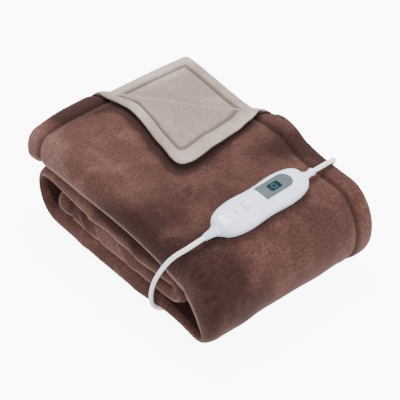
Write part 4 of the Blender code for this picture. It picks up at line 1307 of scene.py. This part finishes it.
def controller(mats):
    """housing, window, screen with its figure, hollow, knob and sleeves"""
    housing = mats["housing"]
    body_rings("housing_top", shell_rings(UPPER_LEVELS, 240, 44, True), housing, "housing",
               "controller_upper")
    body_rings("housing_bottom", shell_rings(LOWER_LEVELS, 160, 24, False)[::-1], housing,
               "housing", "controller_lower")
    film = BODY_TOP + FILM_RISE
    screen = film + 0.15 * MM
    plate("window_film", window_outline(), (0, WINDOW_Y), BODY_TOP - 1.5 * MM, film, 0.15 * MM,
          mats["window"], "window", "controller_window")
    plate("screen", rounded_outline(*SCREEN_SIZE, SCREEN_CORNER), (SCREEN_X, WINDOW_Y),
          BODY_TOP - 1 * MM, screen, 0.15 * MM, mats["screen"], "screen", "controller_screen")
    printed_bars("figure_bar", FIGURE_BARS, 0.45 * MM, (SCREEN_X, WINDOW_Y),
                 screen - 0.2 * MM, screen + 0.06 * MM, mats["figure"], "screen")
    hollow = BODY_TOP - SLOT_FLOOR
    printed_bars("end_mark", END_MARK, 0.4 * MM, (0, 0), hollow - 0.5 * MM, hollow + 0.12 * MM,
                 mats["mark"], "housing")
    knob(mats["knob"])
    sleeve("ribbed_sleeve", -1, 5, housing, "blanket_lead_relief")
    sleeve("short_sleeve", 1, 0, housing, "mains_lead_relief")


def printed_bars(name, bars, corner, centre, low, high, *finish):
    """small round-cornered bars, numbered, with their places given from a centre"""
    for i, (x, y, long, wide) in enumerate(bars):
        plate("%s_%d" % (name, i + 1), rounded_outline(long * MM, wide * MM, corner, 3),
              (centre[0] + x * MM, centre[1] + y * MM), low, high, 0.05 * MM, *finish)


def knob(mat):
    """Slide switch's knob: round-cornered, its top hollowed for the thumb along a
    squared cosine, with three fine grip ridges."""
    length, width, height = KNOB_SIZE
    floor = BODY_HALF_HEIGHT - SLOT_DEPTH + 0.5 * MM
    outline = rounded_outline(length, width, 3.5 * MM)
    rings = [at_height(outline, floor)]
    for a in np.linspace(0, math.pi / 2, 7):
        rings.append(at_height(outline * (1 - 0.12 * (1 - math.cos(a))),
                               floor + height * (0.72 + 0.28 * math.sin(a))))

    def hollowed(f, x):
        """height of the thumb hollow and its ridges"""
        dish = np.cos(np.clip(x / (0.40 * length), -1, 1) * math.pi / 2) ** 2
        ridge = np.maximum(0, np.cos(2 * math.pi * x / (2.4 * MM))) * (np.abs(x) < 4.3 * MM)
        return (0.16 * MM * ridge - 0.7 * MM * dish) * smooth((1 - f) / 0.3)

    rings += drawn_in(rings[-1], np.linspace(0.96, 0.02, 30), hollowed)
    body_rings("slide_knob", [r + np.array([SLOT_X, 0, 0]) for r in rings], mat, "knob",
               "controller_knob", body="switch")


# ================================================================ scene
def finish_nodes(mats):
    """better finishes for the pieces that are shown as they are"""
    for name, mat in (("plug_body", "plug"), ("plug_pin_1", "pin"), ("plug_pin_2", "pin")):
        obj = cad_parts[name]
        obj.data.materials.clear()
        obj.data.materials.append(mats[mat])


def camera():
    """the photograph's viewpoint: front left, 41 degrees above the horizon"""
    cam = bpy.data.cameras.new("camera")
    cam.lens = CAMERA_LENS
    cam.sensor_width = 36
    cam.clip_end = 50
    obj = new_object("camera", cam)
    obj.location = CAMERA_AT
    obj.rotation_euler = [math.radians(a) for a in CAMERA_TURN]
    bpy.context.scene.camera = obj


def area_light(name, at, size, power):
    """large soft lamp turned towards the stack"""
    lamp = bpy.data.lights.new(name, "AREA")
    lamp.shape = "SQUARE"
    lamp.size = size
    lamp.energy = power
    obj = new_object(name, lamp)
    obj.location = at
    way = np.array(LAMP_AIM) - np.array(at)
    tilt = math.atan2(math.hypot(way[0], way[1]), -way[2])
    obj.rotation_euler = (tilt, 0, math.atan2(way[1], way[0]) - math.pi / 2)


def studio():
    """plain pale floor and soft light"""
    edge = FLOOR_HALF
    floor = new_mesh("floor", [(-edge, -edge, 0), (edge, -edge, 0), (edge, edge, 0),
                               (-edge, edge, 0)], [(0, 1, 2, 3)])
    mat, tree, shader = new_material("pale_floor", {"Roughness": 0.9,
                                                    "Emission Strength": FLOOR_GLOW})
    where = add(tree, "TexCoord").outputs["Object"]
    # seen directly the floor glows, so that it is nearly white and still takes shadow
    seen = add(tree, "LightPath").outputs["Is Camera Ray"]
    feed(tree, shader, {
        "Base Color": mix_colour(tree, noise(tree, where, 3.0), (0.93,) * 3, (0.95,) * 3),
        "Emission Color": mix_colour(tree, seen, (0.0,) * 3, (1.0,) * 3)})
    floor.data.materials.append(mat)
    world = bpy.data.worlds.new("studio")
    world.use_nodes = True
    # the sky seen past the floor's edge is as pale as the floor, and lights no more for it
    sky = world.node_tree
    seen = add(sky, "LightPath").outputs["Is Camera Ray"]
    feed(sky, sky.nodes["Background"], {
        "Color": mix_colour(sky, seen, (1.0,) * 3, (SKY_SEEN,) * 3), "Strength": SKY_LIGHT})
    bpy.context.scene.world = world
    for name, at, size, power in LAMPS:
        area_light(name, at, size, power)


def main():
    """the whole scene: camera, finishes, leads, cloths, controller and studio"""
    camera()
    groups = {"nap": nap_group(), "stitch": stitch_group()}
    mats = {name: moulded(*row) for name, row in MOULDED.items()}
    leads(mats)
    # after patch size, contrast and speckle: the groove's painted shade, the painted rim
    # highlight's tone and the thread's tone
    brown = plush("brown_plush", 1, BROWN_TONES, groups, 0.24, (0.95, 0.67, 0.62), 0.055, 0.36,
                  1.9, 0.50, (0.25, 0.158, 0.130), (0.06, 0.028, 0.022))
    beige = plush("beige_plush", -1, BEIGE_TONES, groups, 0.20, (1.0, 0.92, 0.86), 0.06, 0.45,
                  1.1, 0.72, (0.50, 0.42, 0.375), (0.22, 0.165, 0.135))
    outer = cloth("brown_cloth", 1, outer_stations(), "blanket_outer", "dark_plush", brown)
    lining = cloth("beige_cloth", -1, lining_stations(), "blanket_lining", "light_plush", beige)
    u, v = cloth_metres(np.array([7.0]), np.array([7.0]))
    controller(mats)
    finish_nodes(mats)
    studio()


main()
